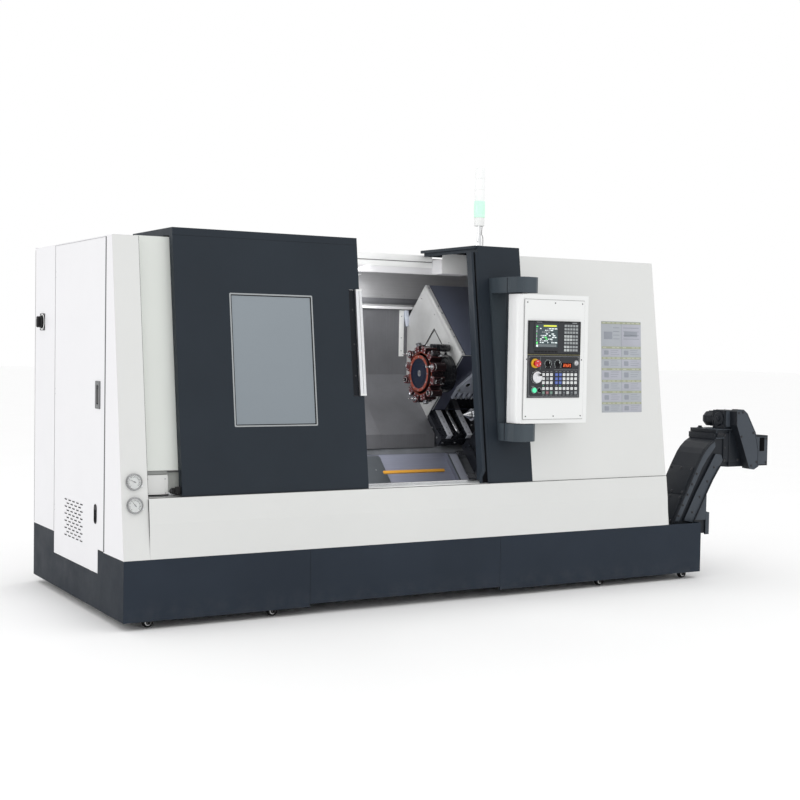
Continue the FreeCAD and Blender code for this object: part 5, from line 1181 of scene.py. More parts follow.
# Way caps in the pale steel, a painted reflection.
for x0_, x1_ in ((2286.5, 2325.5), (2428.5, 2467.5)):
    cs.slab(SLOPE(0, 0, 44), x0_, x1_, 1142.5, 1900, 0.05, 1.9, "rail_painted_reflection", 0.7)
    cs.slab(EFACE(0, 0, 1146), x0_ + 2, x1_ - 2, 14, 44, 0.05, 3.0, "rail_painted_reflection", 0.8)
    for p in range(1160, 1340, 45):
        cs.lathe(SLOPE((x0_ + x1_) / 2, p, 45.35), [(0, 0), (6.2, 0), (6.0, 0.5), (2.6, 0.6), (2.2, 0.2), (0, 0.2)], "screw_dark", 20)
cs.slab(SLOPE(0, 0, 14), 2330, 2424, 1150, 1900, 0.05, 4.5, "cast_black", 1.0)
cs.lathe(EFACE(2377, 0, 1160) @ Matrix.Translation((0, 34, 0)), [(0, -700), (11, -700), (11, -2), (10, 0), (0, 0)], "ground_steel", 28)
cs.slab(EFACE(0, 0, 1138), 2258, 2592, -40, 12, 0.05, 3.6, "cast_black", 1.5)
for x in (2275, 2360, 2500, 2575):
    cs.screw(EFACE(x, -14, 1134.4), 6.0, 4.0, "screw_steel", 20)
for p in (1180, 1260, 1340):
    cs.screw(PFACE(2254, p, -16), 5.6, 3.6, "screw_steel", 20)
cs.slab(SLOPE(0, 0, 14), 2352, 2402, 1142, 1180, 0.05, 29, "cast_black", 4.0, 3)
cs.slab(SLOPE(0, 0, 14), 2478, 2590, 1142, 1330, 0.05, 23, "cast_black", 5.0, 3)
for p in (1160, 1230, 1300):
    for x in (2500, 2570):
        cs.screw(SLOPE(x, p, 37), 6.0, 5.0, "screw_steel", 20)
cs.done("carriage", "cast_dark")

ws = Piece("wall_strip_and_bracket")
m = basis((0, 1216, 0), (1, 0, 0), (0, 0, 1), (0, -1, 0))
ws.slab(m, 2190, 2224, 1310, 1598, 0.05, 2.6, "white_plastic", 0.8)
for z in (1345, 1426, 1560):
    ws.screw(m @ Matrix.Translation((2206, z, 2.6)), 3.8, 2.0, "screw_steel")
ws.plate(m, [(2224, 1598), (2249, 1598), (2249, 1500), (2240, 1498), (2230, 1540)], 0.05, 20, "comb_steel", 2.0)
ws.done("carriage", "stainless")

# ------------------------------------------------- cross slide end, bracket
ce = Piece("end_cover_details")
# folded pan edges and screws of the moving end cover
ce.slab(EFACE(0, 0, 1345), 2259, 2591, 51, 56, 0.05, 1.6, "slate_deep", 0.5)
ce.slab(EFACE(0, 0, 1345), 2259, 2264, 51, 518, 0.05, 1.8, "plate_bright", 0.5)
for q in (70, 180, 400, 505):
    ce.screw(EFACE(2580, q, 1345), 4.6, 2.6)
# pipe block with four finger slots
B = EFACE(0, 0, 1344.8)
outline = [(2340, 168)]
for i in range(4):
    xa = 2352 + i * 38
    outline += [(xa, 168), (xa + 2, 214), (xa + 9, 222), (xa + 17, 222), (xa + 24, 214), (xa + 26, 168)]
outline += [(2506, 168), (2506, 300), (2488, 396), (2464, 410), (2410, 410), (2352, 290), (2340, 262)]
ce.plate(B, outline, 0.0, 16, "comb_steel", 2.2, 3)
ce.lathe(B @ Matrix.Translation((2398, 292, 0)), [(0, 16.1), (15, 16.1), (17, 16.6), (20, 17.2), (21.5, 16.0)], "black_hole", 32)
ce.hoop(B @ Matrix.Translation((2398, 292, 0)), 21.5, 15, 15.5, 18.6, "comb_steel", 32)
for x, q in ((2430, 380), (2466, 392), (2494, 250), (2452, 300), (2356, 246)):
    ce.bolt(B @ Matrix.Translation((x, q, 16)), 10, 5, "screw_steel")
for i in range(4):
    xa = 2365 + i * 38
    ce.lathe(B @ Matrix.Translation((xa, 176, 0)), [(0, 1), (9, 1), (9, 20), (7, 24), (4, 24), (4, 16), (0, 16)], "turned_steel", 24)
ce.slab(EFACE(0, 0, 1345), 2346, 2584, 62, 164, 0.1, 3.0, "cast_black", 0.8)
ce.done("cross_slide", "cast_dark")

th = Piece("turret_housing_details")
ty, tz = (1379 - 339.411) * C, (1379 + 339.411) * C
m = XAX(2145, ty, tz)
for x0_, x1_, R_ in ((6, 14, 114), (30, 36, 113.4), (60, 66, 113.4), (84, 94, 114)):
    th.hoop(m, R_, 111.4, x0_, x1_, "cast_black", 72, 1.0)
for kx in range(10):
    a = 2 * math.pi * (kx + 0.5) / 10
    th.screw(m @ Matrix.Translation((100 * math.cos(a), 100 * math.sin(a), 0)) @ Matrix.Rotation(math.pi, 4, "X"), 5.6, 3.4, "screw_steel", 18)
th.slab(SLOPE(0, 0, 430), 2290, 2520, 1362, 1510, 0.05, 3, "cast_black", 1.0)
th.slab(EFACE(0, 0, 1352), 2300, 2500, 130, 400, 0.05, 2.0, "cast_black", 0.8)
th.tube([(2238, (1452 - 398) * C, (1452 + 398) * C), (2215, (1470 - 404) * C, (1470 + 404) * C), (2196, (1478 - 384) * C, (1478 + 384) * C), (2196, (1482 - 360) * C, (1482 + 360) * C)], 7.0, "cable_black", 12, 6)
th.lathe(XAX(2176, ty, tz) @ Matrix.Rotation(math.radians(200), 4, "Z") @ basis((0, 111, 0), (1, 0, 0), (0, 0, -1), (0, 1, 0)), [(0, 0), (12, 0), (12, 6), (8, 8), (8, 16), (0, 16)], "turned_steel", 20)
th.slab(PFACE(2255, 0, 0), -1704, -1494, 266, 413, 0.0, 1.6, "plate_bright", 0.4)
th.done("cross_slide", "cast_dark")

# --------------------------------------------------------------------- turret
td = Piece("turret_face")
m = basis((2050, ty, tz), (0, -1, 0), (0, 0, 1), (-1, 0, 0))
td.lathe(m, [(0, -4.9), (20, -4.9), (24, -4.2), (70, -3.6), (86, -3.4), (89.6, -1.4)], "disc_navy", 72)
td.lathe(m, [(89.8, -3), (90.4, 0.2), (92, 1.2), (106, 1.2), (107.8, 0.2), (108, -3)], "ring_red", 72)
for kx in range(12):
    a = 2 * math.pi * kx / 12
    td.screw(m @ Matrix.Translation((99 * math.cos(a), 99 * math.sin(a), 1.1)), 4.4, 1.7, "screw_steel", 18)
td.lathe(m, [(0, -3.6), (13, -3.6), (15, -4.4), (19, -4.6)], "chrome", 48)
td.hoop(m, 64, 62.4, -3.9, -3.1, "disc_navy", 64, 0.3)
td.lathe(m @ Matrix.Translation((0, 0, -12)), [(108, 0), (124.5, 0), (126.4, -2)], "ring_red", 12, 10)
td.done("turret", "disc_blue")

tt = Piece("turret_tooling")
for i in range(12):
    ang = math.radians(30.0 * i + 15.0)
    # local frame: z outward along the spoke, x along the machine's x
    o = Vector((0, ty, tz))
    rad = Vector((0, -math.sin(ang), math.cos(ang)))
    tan = Vector((0, -math.cos(ang), -math.sin(ang)))
    mm = basis(o, (1, 0, 0), -tan, rad) if Vector((1, 0, 0)).cross(-tan).dot(rad) > 0 else basis(o, (1, 0, 0), tan, rad)
    # raised clamp rims and screws on the block
    tt.slab(mm, 2061, 2133, -24, -19.5, 158, 162.5, "clamp_maroon", 1.2)
    tt.slab(mm, 2061, 2133, 19.5, 24, 158, 162.5, "clamp_maroon", 1.2)
    fm = basis(o + rad * 143 + Vector((2057.9, 0, 0)), -tan, rad, (-1, 0, 0)) if (-tan).cross(rad).dot(Vector((-1, 0, 0))) > 0 else basis(o + rad * 143 + Vector((2057.9, 0, 0)), tan, rad, (-1, 0, 0))
    for dx in (-16.5, 16.5):
        for dy in (-9.5, 9.0):
            tt.screw(fm @ Matrix.Translation((dx, dy, 0)), 4.8, 3.0, "screw_steel", 18)
    tt.ring(fm, rr(-24, 24, -16, 16, 5), rr(-20.5, 20.5, -12.5, 12.5, 4), 0.0, 2.4, "clamp_maroon")
    for dx in (-17, 17):
        tt.screw(mm @ Matrix.Translation((2112, dx, 160)), 5.2, 3.6, "screw_steel", 18)
    if i % 2:
        tt.slab(mm, 2064.5, 2067, -11, 11, 162, 183, "ground_steel", 0.6)
        tt.plate(mm @ basis((2066, -8, 176), (0, 1, 0), (0, 0, 1), (1, 0, 0)) @ Matrix.Scale(-1, 4, (0, 0, 1)), [(0, 0), (16, 0), (18.6, 8), (0, 9.0)], 0.0, 6.0, "ground_steel", 0.6)
        tt.slab(mm, 2068, 2087.5, -11.8, 11.8, 161, 181, "turned_steel", 1.0)
        tt.screw(mm @ Matrix.Translation((2077, 0, 183.4)), 3.6, 2.0, "screw_dark")
        tt.slab(mm, 2090, 2110, -13, 13, 160, 172, "screw_dark", 2.0)
        tt.lathe(mm @ Matrix.Translation((2124, -14, 160)), [(0, 0), (6, 0), (6, 8), (4, 12), (2, 12), (0, 12)], "turned_steel", 16)
    else:
        L0 = 2050.0 + (60.0 if i == 0 else 0.0)
        L1 = L0 + (122.0 if i == 0 else 84.0)
        cyx = Vector((0, ty - 158.0 * math.sin(ang), tz + 158.0 * math.cos(ang)))
        am = XAX(L0, cyx.y, cyx.z)
        if i == 0:
            tt.lathe(am, [(0, -2), (17, -2), (22.6, -1), (22.8, 4), (22.8, L1 - L0 - 4), (20, L1 - L0 + 0.6), (12, L1 - L0 + 1), (0, L1 - L0 + 1)], "cast_black", 40)
            for kx in range(3):
                tt.hoop(am, 23.5, 22.4, 20 + kx * 30, 24 + kx * 30, "screw_dark", 40)
        else:
            tt.hoop(am, 22.7, 13.0, -1.6, 10, "holder_red", 40, 1.4)
            tt.disc(am, 13.2, -0.8, 0.2, "black_hole", 28, 0.1)
            tt.hoop(am, 16.0, 13.0, -3.2, 0.4, "turned_steel", 32, 0.8)
            tt.lathe(am, [(22.3, 12), (22.9, 12.6), (22.9, 15), (22.3, 16)], "turned_steel", 40)
            if i in (2, 6, 10):
                tt.lathe(basis((L0, cyx.y, cyx.z), (0, -1, 0), (0, 0, 1), (-1, 0, 0)), [(0, -2), (9, -2), (9, 6), (7.2, 7), (7.2, 19), (5.0, 21), (4.4, 44), (0, 49)], "turned_steel", 28)
tt.done("turret", "holder_red")

# ------------------------------------------------------------------ tailstock
ts = Piece("tailstock_details")
m = XAX(2400, 500, 980)
ts.hoop(m, 73.6, 46, -3.6, 0.2, "turned_steel", 64, 1.0)
for kx in range(8):
    a = 2 * math.pi * kx / 8
    ts.screw(m @ Matrix.Translation((60 * math.cos(a), 60 * math.sin(a), -3.4)) @ Matrix.Rotation(math.pi, 4, "X"), 5.0, 3.4, "screw_steel", 18)
for x in (2402, 2470, 2760, 2814):
    ts.hoop(XAX(x, 500, 980), 75.4, 73.6, 0, 5, "cast_dark", 64)
for x in (2450, 2540, 2630, 2720, 2800):
    ts.screw(SLOPE(x, 900, 30), 9.0, 7.0, "screw_steel", 22)
ts.slab(SLOPE(0, 0, 30), 2425, 2815, 870, 930, 0.05, 3.0, "ground_steel", 1.0)
ts.lathe(TOP(2620, 500, 1054), [(0, -2), (17, -2), (17, 5), (14, 7), (9, 8), (9, 20), (6, 24), (0, 24)], "turned_steel", 28)
ts.tube([(2640, 520, 1052), (2660, 560, 1092), (2740, 640, 1110), (2800, 700, 1080)], 7.0, "cable_black", 12, 6)
ts.done("tailstock", "cast_dark")
qd = Piece("quill_details")
qd.lathe(basis((2330, 500, 980), (0, -1, 0), (0, 0, 1), (-1, 0, 0)), [(21, -0.2), (45.2, -0.2), (45.4, 0.2), (43, 2.6), (26, 3.0), (21, 2.0)], "ground_steel", 56)
qd.done("quill", "rail_steel")
lc = Piece("live_centre_rings")
for x in (2277, 2292, 2310):
    lc.hoop(XAX(x, 500, 980), 36.5, 35.6, 0, 3, "screw_dark", 56, 0.3)
lc.lathe(XAX(2213, 500, 980), [(0.2, -0.2), (3.2, 5.4), (3.6, 6.0), (3.4, 6.4)], "chrome", 32)
lc.done("centre", "rail_steel")

# ------------------------------------------------------------- casters
for i, cx in enumerate((141.0, 800.0, 2896.0, 3530.0)):
    w = Piece("caster_hubs_%d" % (i + 1))
    for yy, s_ in ((62, 1), (540, 1)):
        for d, mfun in ((-12, PANEL(cx, 26, yy - 12)), (12, YPOS(cx, yy + 12, 26))):
            w.lathe(mfun, [(0, 0.1), (8.2, 0.1), (9.2, 1.6), (13.5, 1.7), (15.5, 0.9), (16.2, 0.1)], "white_plastic", 36)
            w.lathe(mfun, [(17.4, 0.05), (18.2, 0.7), (22.6, 0.8), (23.8, 0.1)], "rubber", 36)
        w.hoop(basis((cx, yy - 6, 26), (1, 0, 0), (0, 0, 1), (0, -1, 0)), 25.0, 24.3, -12.0, -10.6, "rubber", 40, 0.2)
    w.done("wheels_%d" % (i + 1), "caster_rubber")
    f = Piece("caster_fork_details_%d" % (i + 1))
    for yy in (62, 540):
        f.bolt(PANEL(cx, 26, yy - 18.2), 6.0, 3.0, "screw_steel")
        f.bolt(YPOS(cx, yy + 18.2, 26), 6.0, 3.0, "screw_steel")
        f.plate(PANEL(cx, 0, yy - 18.0), [(-11, 19.5), (-7, 15.5), (7, 15.5), (11, 19.5), (20, 71), (-20, 71)], 0.05, 1.4, "black_plastic", 0.4)
        f.plate(YPOS(cx, yy + 18.0, 0), [(-11, 19.5), (-7, 15.5), (7, 15.5), (11, 19.5), (20, 71), (-20, 71)], 0.05, 1.4, "black_plastic", 0.4)
        for dx in (-21, 21):
            for dy in (-15, 15):
                f.bolt(basis((cx + dx, yy + dy, 71.8), (1, 0, 0), (0, -1, 0), (0, 0, -1)), 6.0, 3.0, "screw_steel")
    f.done("machine", "caster_steel")

# plinth: welded seams and the drain plug
pl = Piece("plinth_details")
pl.slab(PANEL(2155, 200, 0), -0.8, 0.8, -142, 136, 0.0, 0.3, "slate_deep", 0)
pl.slab(PANEL(986, 200, 0), -0.8, 0.8, -142, 136, 0.0, 0.3, "slate_deep", 0)
pl.lathe(RIGHT(460, 110, 0.0, 3623.5), [(0, 0), (22, 0), (22, 5), (20, 7), (13, 7), (13, 20), (11, 22), (0, 22)], "screw_steel", 28)
for y in (60, 300, 540):
    pl.bolt(RIGHT(y, 300, 0.0, 3623.5), 12, 6, "screw_dark")
# cover plates with their bolts at the tank's rear
for x in (600, 1300, 2000, 2700, 3300):
    pl.slab(basis((x, 600, 215), (-1, 0, 0), (0, 0, 1), (0, 1, 0)), -150, 150, -70, 70, 0.0, 2.0, "slate_plinth", 0.8)
    for dx in (-140, 140):
        for dz in (-60, 60):
            pl.bolt(basis((x + dx, 602, 215 + dz), (-1, 0, 0), (0, 0, 1), (0, 1, 0)), 9, 4, "screw_dark")
pl.done("machine", "plinth_paint")

# --------------------------------------------------------------- chip conveyor
YC = 80.0
cv = Piece("conveyor_casing_details")
CV = PANEL(0, 0, YC)


def cpoly(p, pts, o0, o1, mat, bev=1.0):
    a = sum(pts[i][0] * pts[(i + 1) % len(pts)][1] - pts[(i + 1) % len(pts)][0] * pts[i][1] for i in range(len(pts)))
    p.plate(CV, pts if a > 0 else pts[::-1], o0, o1, mat, bev)


# side strips along the rise and their flanges
cpoly(cv, [(3468, 345), (3512, 340), (3592, 488), (3686, 660), (3732, 722), (3775, 768), (3792, 790), (3786, 828), (3748, 806), (3713, 774), (3688, 742), (3643, 668)], 0.05, 9.0, "conveyor_light", 2.0)
cpoly(cv, [(3545, 346), (3616, 330), (3726, 521), (3767, 590), (3822, 667), (3852, 704), (3836, 738), (3790, 746), (3640, 516)], 0.05, 14.0, "conveyor_light", 2.4)
cpoly(cv, [(3612, 326), (3617, 322), (3729, 521), (3771, 590), (3826, 666.5), (3822, 669), (3766, 593), (3724, 524)], 0.05, 22.0, "conveyor_dark", 1.5)
cpoly(cv, [(3459, 330), (3467, 326), (3649, 666), (3692, 738), (3716, 768), (3750, 799), (3786, 820), (3786, 832), (3746, 809), (3710, 777), (3685, 746), (3640, 671)], 0.05, 12.0, "conveyor_dark", 1.5)
cpoly(cv, [(3627, 341), (3732, 524), (3732, 341)], 0.05, 6.0, "conveyor_light", 1.0)
cpoly(cv, [(3664, 418), (3690, 418), (3690, 462)], 5.9, 6.6, "black_hole", 0.2)
for t in (0.08, 0.28, 0.48, 0.68, 0.88):
    cv.bolt(CV @ Matrix.Translation((3492 + 172 * t, 350 + 314 * t, 9.0)), 8, 5, "screw_dark")
for t in (0.12, 0.38, 0.64, 0.88):
    cv.bolt(CV @ Matrix.Translation((3584 + 222 * t, 350 + 356 * t, 14.0)), 8, 5, "screw_dark")
# upper deck plates of the rise, seen from the left
dv = Vector((3639 - 3456, 0, 672 - 325)).normalized()
nv = Vector((-dv.z, 0, dv.x))
for t0, t1 in ((0.02, 0.49), (0.51, 0.98)):
    a = Vector((3456, 190, 325)) + dv * 392 * t0
    mm = basis(a, dv, (0, 1, 0), nv) if dv.cross(Vector((0, 1, 0))).dot(nv) > 0 else basis(a, dv, (0, -1, 0), nv)
    Lk = 392 * (t1 - t0)
    cv.slab(mm, 0, Lk, -104, 104, 0.05, 3.4, "conveyor_dark", 1.2)
    for u in (14, Lk - 14):
        for v_ in (-92, 0, 92):
            cv.bolt(mm @ Matrix.Translation((u, v_, 3.4)), 9, 4, "screw_dark")
# head: lid with overhanging edges, side panel ribs and inspection cover
cv.slab(TOP(0, 0, 890), 3799, 4106, 72, 308, 0.05, 4.0, "conveyor_light", 1.5)
cv.slab(TOP(0, 0, 890), 3798, 3802.8, 72, 308, -20, 4.0, "conveyor_light", 1.0)
cv.slab(TOP(0, 0, 869), 3782, 3785.8, 76, 304, -34, 2.0, "conveyor_dark", 1.0)
cv.slab(CV, 3806, 3862, 846, 886, 0.05, 7.0, "conveyor_dark", 1.5)
cv.slab(CV, 3790, 3860, 838, 844, 0.05, 12.0, "conveyor_light", 1.5)
for x in (3818, 3834, 3850):
    cv.bolt(CV @ Matrix.Translation((x, 866, 7.0)), 7, 4, "screw_dark")
cv.plate(CV, rr(3858, 3990, 690, 870, 10), 0.05, 7.0, "conveyor_dark", 1.5)
for x in (3868, 3980):
    for z in (702, 780, 858):
        cv.bolt(CV @ Matrix.Translation((x, z, 7.0)), 8, 4, "screw_dark")
cv.slab(CV, 3900, 3912, 668, 887, 0.05, 12.0, "conveyor_dark", 2.0)
# discharge: end frame and hood edge
cv.slab(RIGHT(190, 755, 0.0, 4236.4), -106, 106, -92, 91, 0.05, 3.4, "conveyor_light", 1.0)
cv.plate(CV, rr(4112, 4234, 668, 842, 6), 0.05, 5.0, "conveyor_light", 1.5)
cv.plate(CV, rr(4166, 4206, 752, 838, 4), 4.8, 6.5, "black_hole", 0.6)
for x in (4124, 4224):
    for z in (680, 830):
        cv.bolt(CV @ Matrix.Translation((x, z, 5.0)), 8, 4, "screw_dark")
# rear side of the same casing
RB = YPOS(0, 300, 0)
cv.plate(RB, [(-a, b) for a, b in [(3545, 346), (3612, 330), (3724, 522), (3765, 592), (3820, 668), (3777, 742)]], 0.05, 8.0, "conveyor_light", 1.5)
cv.plate(RB, [(-a, b) for a, b in [(3484, 366), (3500, 356), (3652, 650), (3640, 662)]], 0.05, 8.0, "conveyor_light", 1.5)
cv.plate(RB, rr(-4096, -3860, 690, 878, 10), 0.05, 5.0, "conveyor_dark", 1.5)
for x in (3872, 3978, 4084):
    for z in (702, 866):
        cv.bolt(RB @ Matrix.Translation((-x, z, 5.0)), 8, 4, "screw_dark")
cv.lathe(RB @ Matrix.Translation((-4040, 780, 5)), [(0, 0), (46, 0), (46, 6), (42, 10), (28, 12), (28, 18), (24, 21), (0, 21)], "conveyor_light", 36)
# support bracket with its bolts
cv.slab(CV, 3727, 3757, 250, 386, -3.0, 7.0, "conveyor_light", 2.0)
cv.slab(CV, 3640, 3729, 258, 382, -8.0, -1.0, "conveyor_dark", 2.0)
for z in (272, 364):
    cv.bolt(CV @ Matrix.Translation((3690, z, -1.0)), 9, 4, "screw_dark")
cv.done("machine", "conveyor_paint")

gm = Piece("conveyor_drive_details")
m = YPOS(3932, 195, 951) @ Matrix.Rotation(math.pi / 8, 4, "Z")
gm.lathe(m, [(30, 0.2), (47.5, 0.2), (48.5, 2), (48.5, 12), (46, 14), (46, 24), (48.5, 26), (48.5, 62), (46, 64), (46, 72), (48.5, 74), (48.5, 92), (44, 103), (20, 104), (0, 104)], "conveyor_dark", 8, 20)
for kx in range(5):
    gm.hoop(m, 49.2, 46.5, 28 + kx * 7, 31 + kx * 7, "conveyor_light", 8, 0.6)
gm.plate(m, rr(-22, 22, -22, 22, 21.5), 103.9, 105.4, "black_hole", 0.4)
gm.plate(TOP(3932, 248, 995.6), rr(-16, 16, -26, 26, 5), -2.0, 5.5, "conveyor_light", 1.8, 3)
gm.plate(TOP(3930, 142, 1008), rr(-40, 40, -44, 44, 8), 0.0, 3.4, "conveyor_light", 1.6, 3)
for dx in (-32, 32):
    for dy in (-36, 36):
        gm.screw(TOP(3930 + dx, 142 + dy, 1011.4), 4.4, 2.2)
gm.plate(PANEL(3932, 958, 86), rr(-50, 50, -48, 48, 10), 0.0, 4.0, "conveyor_light", 1.5)
gm.lathe(TOP(3836, 262, 893.9), [(0, 0), (18, 0), (18, 4), (12, 6), (12, 12), (9, 14), (0, 14)], "conveyor_dark", 28)
for y in (92, 190):
    gm.slab(TOP(0, 0, 0), 3877, 3987, y - 3, y + 3, 890.5, 1010, "conveyor_dark", 2.0)
gm.lathe(basis((3880, 141, 956), (0, 1, 0), (0, 0, 1), (-1, 0, 0)), [(0, 0), (44, 0), (44, 5), (38, 9), (16, 10), (16, 16), (13, 18), (0, 18)], "conveyor_dark", 8, 20)
gm.done("machine", "conveyor_paint")

cg = Piece("chain_guard_details")
GF = PANEL(0, 0, 21.6)
gpts = [(3914, 1006), (3932, 1019), (3969, 1018), (4002, 994), (4076, 874), (4106, 760), (4106, 662), (4069, 643), (4028, 650), (3916, 920)]
gin = []
cxm = sum(p[0] for p in gpts) / len(gpts)
czm = sum(p[1] for p in gpts) / len(gpts)
for x, z in gpts:
    gin.append((cxm + (x - cxm) * 0.93, czm + (z - czm) * 0.95))
cg.ring(GF, gpts, gin, 0.0, 2.2, "conveyor_light")
for x, z in ((3932, 998), (3966, 1000), (4058, 872), (4090, 690), (4046, 668), (3958, 850)):
    cg.bolt(GF @ Matrix.Translation((x, z, 0.4)), 8, 3, "screw_dark")
cg.done("machine", "conveyor_paint")

# ------------------------------------------------------------- back and right
bkp = Piece("rear_panels")
# electrical cabinet doors, ventilation and service panels on the rear cover
for x0_, x1_ in ((120, 700), (706, 1286)):
    xc = (x0_ + x1_) / 2
    hw_ = (x1_ - x0_) / 2
    bkp.ring(BACK(xc, 1118), rr(-hw_, hw_, -746, 746, 12), rr(-hw_ + 4, hw_ - 4, -742, 742, 9), -0.1, 2.0, "seam_soft")
    bkp.plate(BACK(xc, 1118), rr(-hw_ + 6, hw_ - 6, -740, 740, 8), -0.1, 2.6, "white_side_lit", 1.2)
    for z in (480, 1118, 1756):
        xx = x0_ + 20 if x0_ < 300 else x1_ - 20
        bkp.lathe(basis((xx, 1563.0, z - 36), (1, 0, 0), (0, 1, 0), (0, 0, 1)), [(0, 0), (7, 0), (7, 72), (0, 72)], "screw_steel", 20)
for x in (660, 746):
    bkp.plate(BACK(x, 1118, 2.6), rr(-17, 17, -70, 70, 6), 0.0, 2.0, "black_plastic", 0.8)
    bkp.plate(BACK(x, 1118, 4.6), rr(-9, 9, -56, 40, 8), 0.0, 4.2, "black_plastic", 2.0, 3)
for xc, zc_ in ((410, 1620), (996, 1620), (410, 560), (996, 560)):
    bkp.plate(BACK(xc, zc_, 2.6), rr(-125, 125, -125, 125, 10), 0.0, 2.6, "filter_grey", 1.2)
    for j in range(9):
        bkp.slab(BACK(xc, zc_ - 96 + j * 24, 5.0), -104, 104, -6, 3, 0.0, 2.4, "filter_grey", 1.0)
        bkp.slab(BACK(xc, zc_ - 96 + j * 24 + 8, 5.0), -104, 104, -4, 4, 0.0, 0.3, "black_hole", 0)
for x0_, x1_, z0_, z1_ in ((1330, 2320, 370, 1090), (1330, 2320, 1100, 1860), (2330, 3330, 370, 1090), (2330, 3330, 1100, 1860)):
    xc, zc_ = (x0_ + x1_) / 2, (z0_ + z1_) / 2
    w_, h_ = (x1_ - x0_) / 2, (z1_ - z0_) / 2
    bkp.ring(BACK(xc, zc_), rr(-w_, w_, -h_, h_, 8), rr(-w_ + 3, w_ - 3, -h_ + 3, h_ - 3, 6), -0.1, 0.9, "seam_soft")
    bkp.plate(BACK(xc, zc_), rr(-w_ + 4, w_ - 4, -h_ + 4, h_ - 4, 6), -0.1, 1.6, "white_side_lit", 0.8)
    for i in range(5):
        for sz_ in (-1, 1):
            bkp.screw(BACK(xc - w_ + 24 + i * (2 * w_ - 48) / 4, zc_ + sz_ * (h_ - 20), 1.6), 5.0, 2.6)
    for sx_ in (-1, 1):
        bkp.screw(BACK(xc + sx_ * (w_ - 24), zc_, 1.6), 5.0, 2.6)
    for sx_ in (-1, 1):
        bkp.ring(BACK(xc + sx_ * w_ * 0.5, zc_ + h_ * 0.55, 1.6), rr(-60, 60, -20, 20, 12), rr(-48, 48, -10, 10, 8), 0.0, 2.6, "black_plastic")
        bkp.plate(BACK(xc + sx_ * w_ * 0.5, zc_ + h_ * 0.55, 1.6), rr(-49, 49, -11, 11, 8), 0.0, 0.5, "black_hole", 0.0)
for r in range(12):
    z = 1320 + r * 22
    for x in (1580, 1825, 2070):
        bkp.plate(BACK(x, z, 1.6), rr(-95, 95, -3.6, 3.6, 3.5, 4), 0.0, 0.4, "black_hole", 0)
        bkp.plate(BACK(x, z, 1.6), [(-98, 3.0), (98, 3.0), (94, 8.5), (-94, 8.5)], 0.0, 4.0, "white_side_lit", 1.4)
bkp.done("machine", "white_paint")

rp = Piece("right_side_panels")
for y0_, y1_, z0_, z1_ in ((330, 920, 372, 1090), (330, 920, 1104, 1860), (934, 1530, 372, 1860)):
    yc, zc_ = (y0_ + y1_) / 2, (z0_ + z1_) / 2
    w_, h_ = (y1_ - y0_) / 2, (z1_ - z0_) / 2
    rp.ring(RIGHT(yc, zc_), rr(-w_, w_, -h_, h_, 8), rr(-w_ + 3, w_ - 3, -h_ + 3, h_ - 3, 6), -0.1, 0.9, "seam_soft")
    rp.plate(RIGHT(yc, zc_), rr(-w_ + 4, w_ - 4, -h_ + 4, h_ - 4, 6), -0.1, 1.6, "white_side_lit", 0.8)
    for sx_ in (-1, 0, 1):
        for sz_ in (-1, 0, 1):
            if sx_ or sz_:
                rp.screw(RIGHT(yc + sx_ * (w_ - 22), zc_ + sz_ * (h_ - 22), 1.6), 5.0, 2.6)
for r in range(9):
    z = 520 + r * 20
    rp.plate(RIGHT(625, z, 1.6), rr(-110, 110, -3.6, 3.6, 3.5, 4), 0.0, 0.4, "black_hole", 0)
    rp.plate(RIGHT(625, z, 1.6), [(-113, 3.0), (113, 3.0), (108, 8.5), (-108, 8.5)], 0.0, 4.0, "white_side_lit", 1.4)
rp.ring(RIGHT(1010, 1110, 1.6), rr(-17, 17, -60, 60, 6), rr(-10, 10, -46, 46, 5), 0.0, 3.0, "black_plastic")
rp.plate(RIGHT(1010, 1110, 1.6), rr(-11, 11, -47, 47, 5), 0.0, 0.6, "black_hole", 0)
for k_ in range(4):
    rp.lathe(RIGHT(1120 + k_ * 80, 420, 1.6), [(0, 0), (24, 0), (24, 4), (20, 8), (16, 9), (16, 22), (13, 25), (0, 25)], "black_plastic", 28)
rp.done("machine", "white_paint")

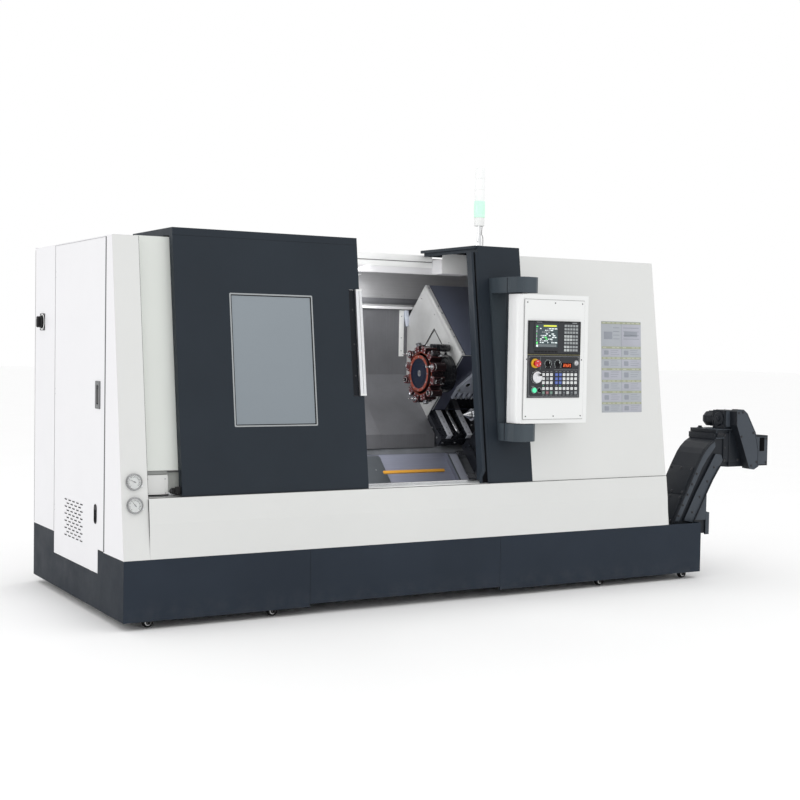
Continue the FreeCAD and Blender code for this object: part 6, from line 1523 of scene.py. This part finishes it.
# ------------------------------------------------------- floor, light
def stage_mesh(name, verts, faces, mat):
    me = bpy.data.meshes.new(name)
    me.from_pydata(verts, [], faces)
    me.materials.append(MATS[mat])
    o = bpy.data.objects.new(name, me)
    bpy.context.scene.collection.objects.link(o)
    return o


m, nt, b = base_mat("floor_pale")
vv = coords(nt)
cc_ = ramp(nt, noise(nt, vv, 1.2, 3.0), [(0.3, (0.965, 0.965, 0.965)), (0.7, (0.975, 0.975, 0.975))])
nt.links.new(cc_, b.inputs["Base Color"])
b.inputs["Roughness"].default_value = 0.9
b.inputs["Specular IOR Level"].default_value = 0.1
stage_mesh("floor", [(-60, -60, -0.0005), (60, -60, -0.0005), (60, 60, -0.0005), (-60, 60, -0.0005)], [(0, 1, 2, 3)], "floor_pale")

w = bpy.data.worlds.new("studio")
bpy.context.scene.world = w
w.use_nodes = True
w.node_tree.nodes["Background"].inputs[0].default_value = (1.0, 1.0, 1.0, 1.0)
w.node_tree.nodes["Background"].inputs[1].default_value = 1.0


def area(name, loc, target, size, power, size_y=None, color=(1, 1, 1)):
    ld = bpy.data.lights.new(name, "AREA")
    ld.energy = power
    ld.size = size
    ld.color = color
    if size_y:
        ld.shape = "RECTANGLE"
        ld.size_y = size_y
    lo = bpy.data.objects.new(name, ld)
    bpy.context.scene.collection.objects.link(lo)
    lo.location = loc
    lo.rotation_mode = "QUATERNION"
    lo.rotation_quaternion = (Vector(target) - Vector(loc)).to_track_quat("-Z", "Y")
    return lo


def row(x, y, z):
    return ((x - OX) / 1000, (y - OY) / 1000, z / 1000)


area("key_left", (-9.5, 1.0, 3.6), (-2.0, 0.1, 1.0), 4.0, 95)
area("top_soft", (0.0, -4.5, 7.5), (0, 0, 0.8), 6.0, 60)
area("inside_lamp", row(1640, 900, 1790), row(1900, 700, 1000), 0.6, 3.0, 0.3)
area("inside_fill", row(1240, 330, 1300), row(2330, 760, 1150), 0.35, 4.5, 0.7)
area("inside_low", row(1480, 230, 700), row(2300, 700, 1000), 0.3, 1.5, 0.3)
area("inside_top", row(1880, 1060, 1690), row(1930, 1245, 1725), 0.12, 0.35, 0.08)

bpy.context.scene.view_settings.view_transform = "Standard"
bpy.context.scene.view_settings.look = "None"
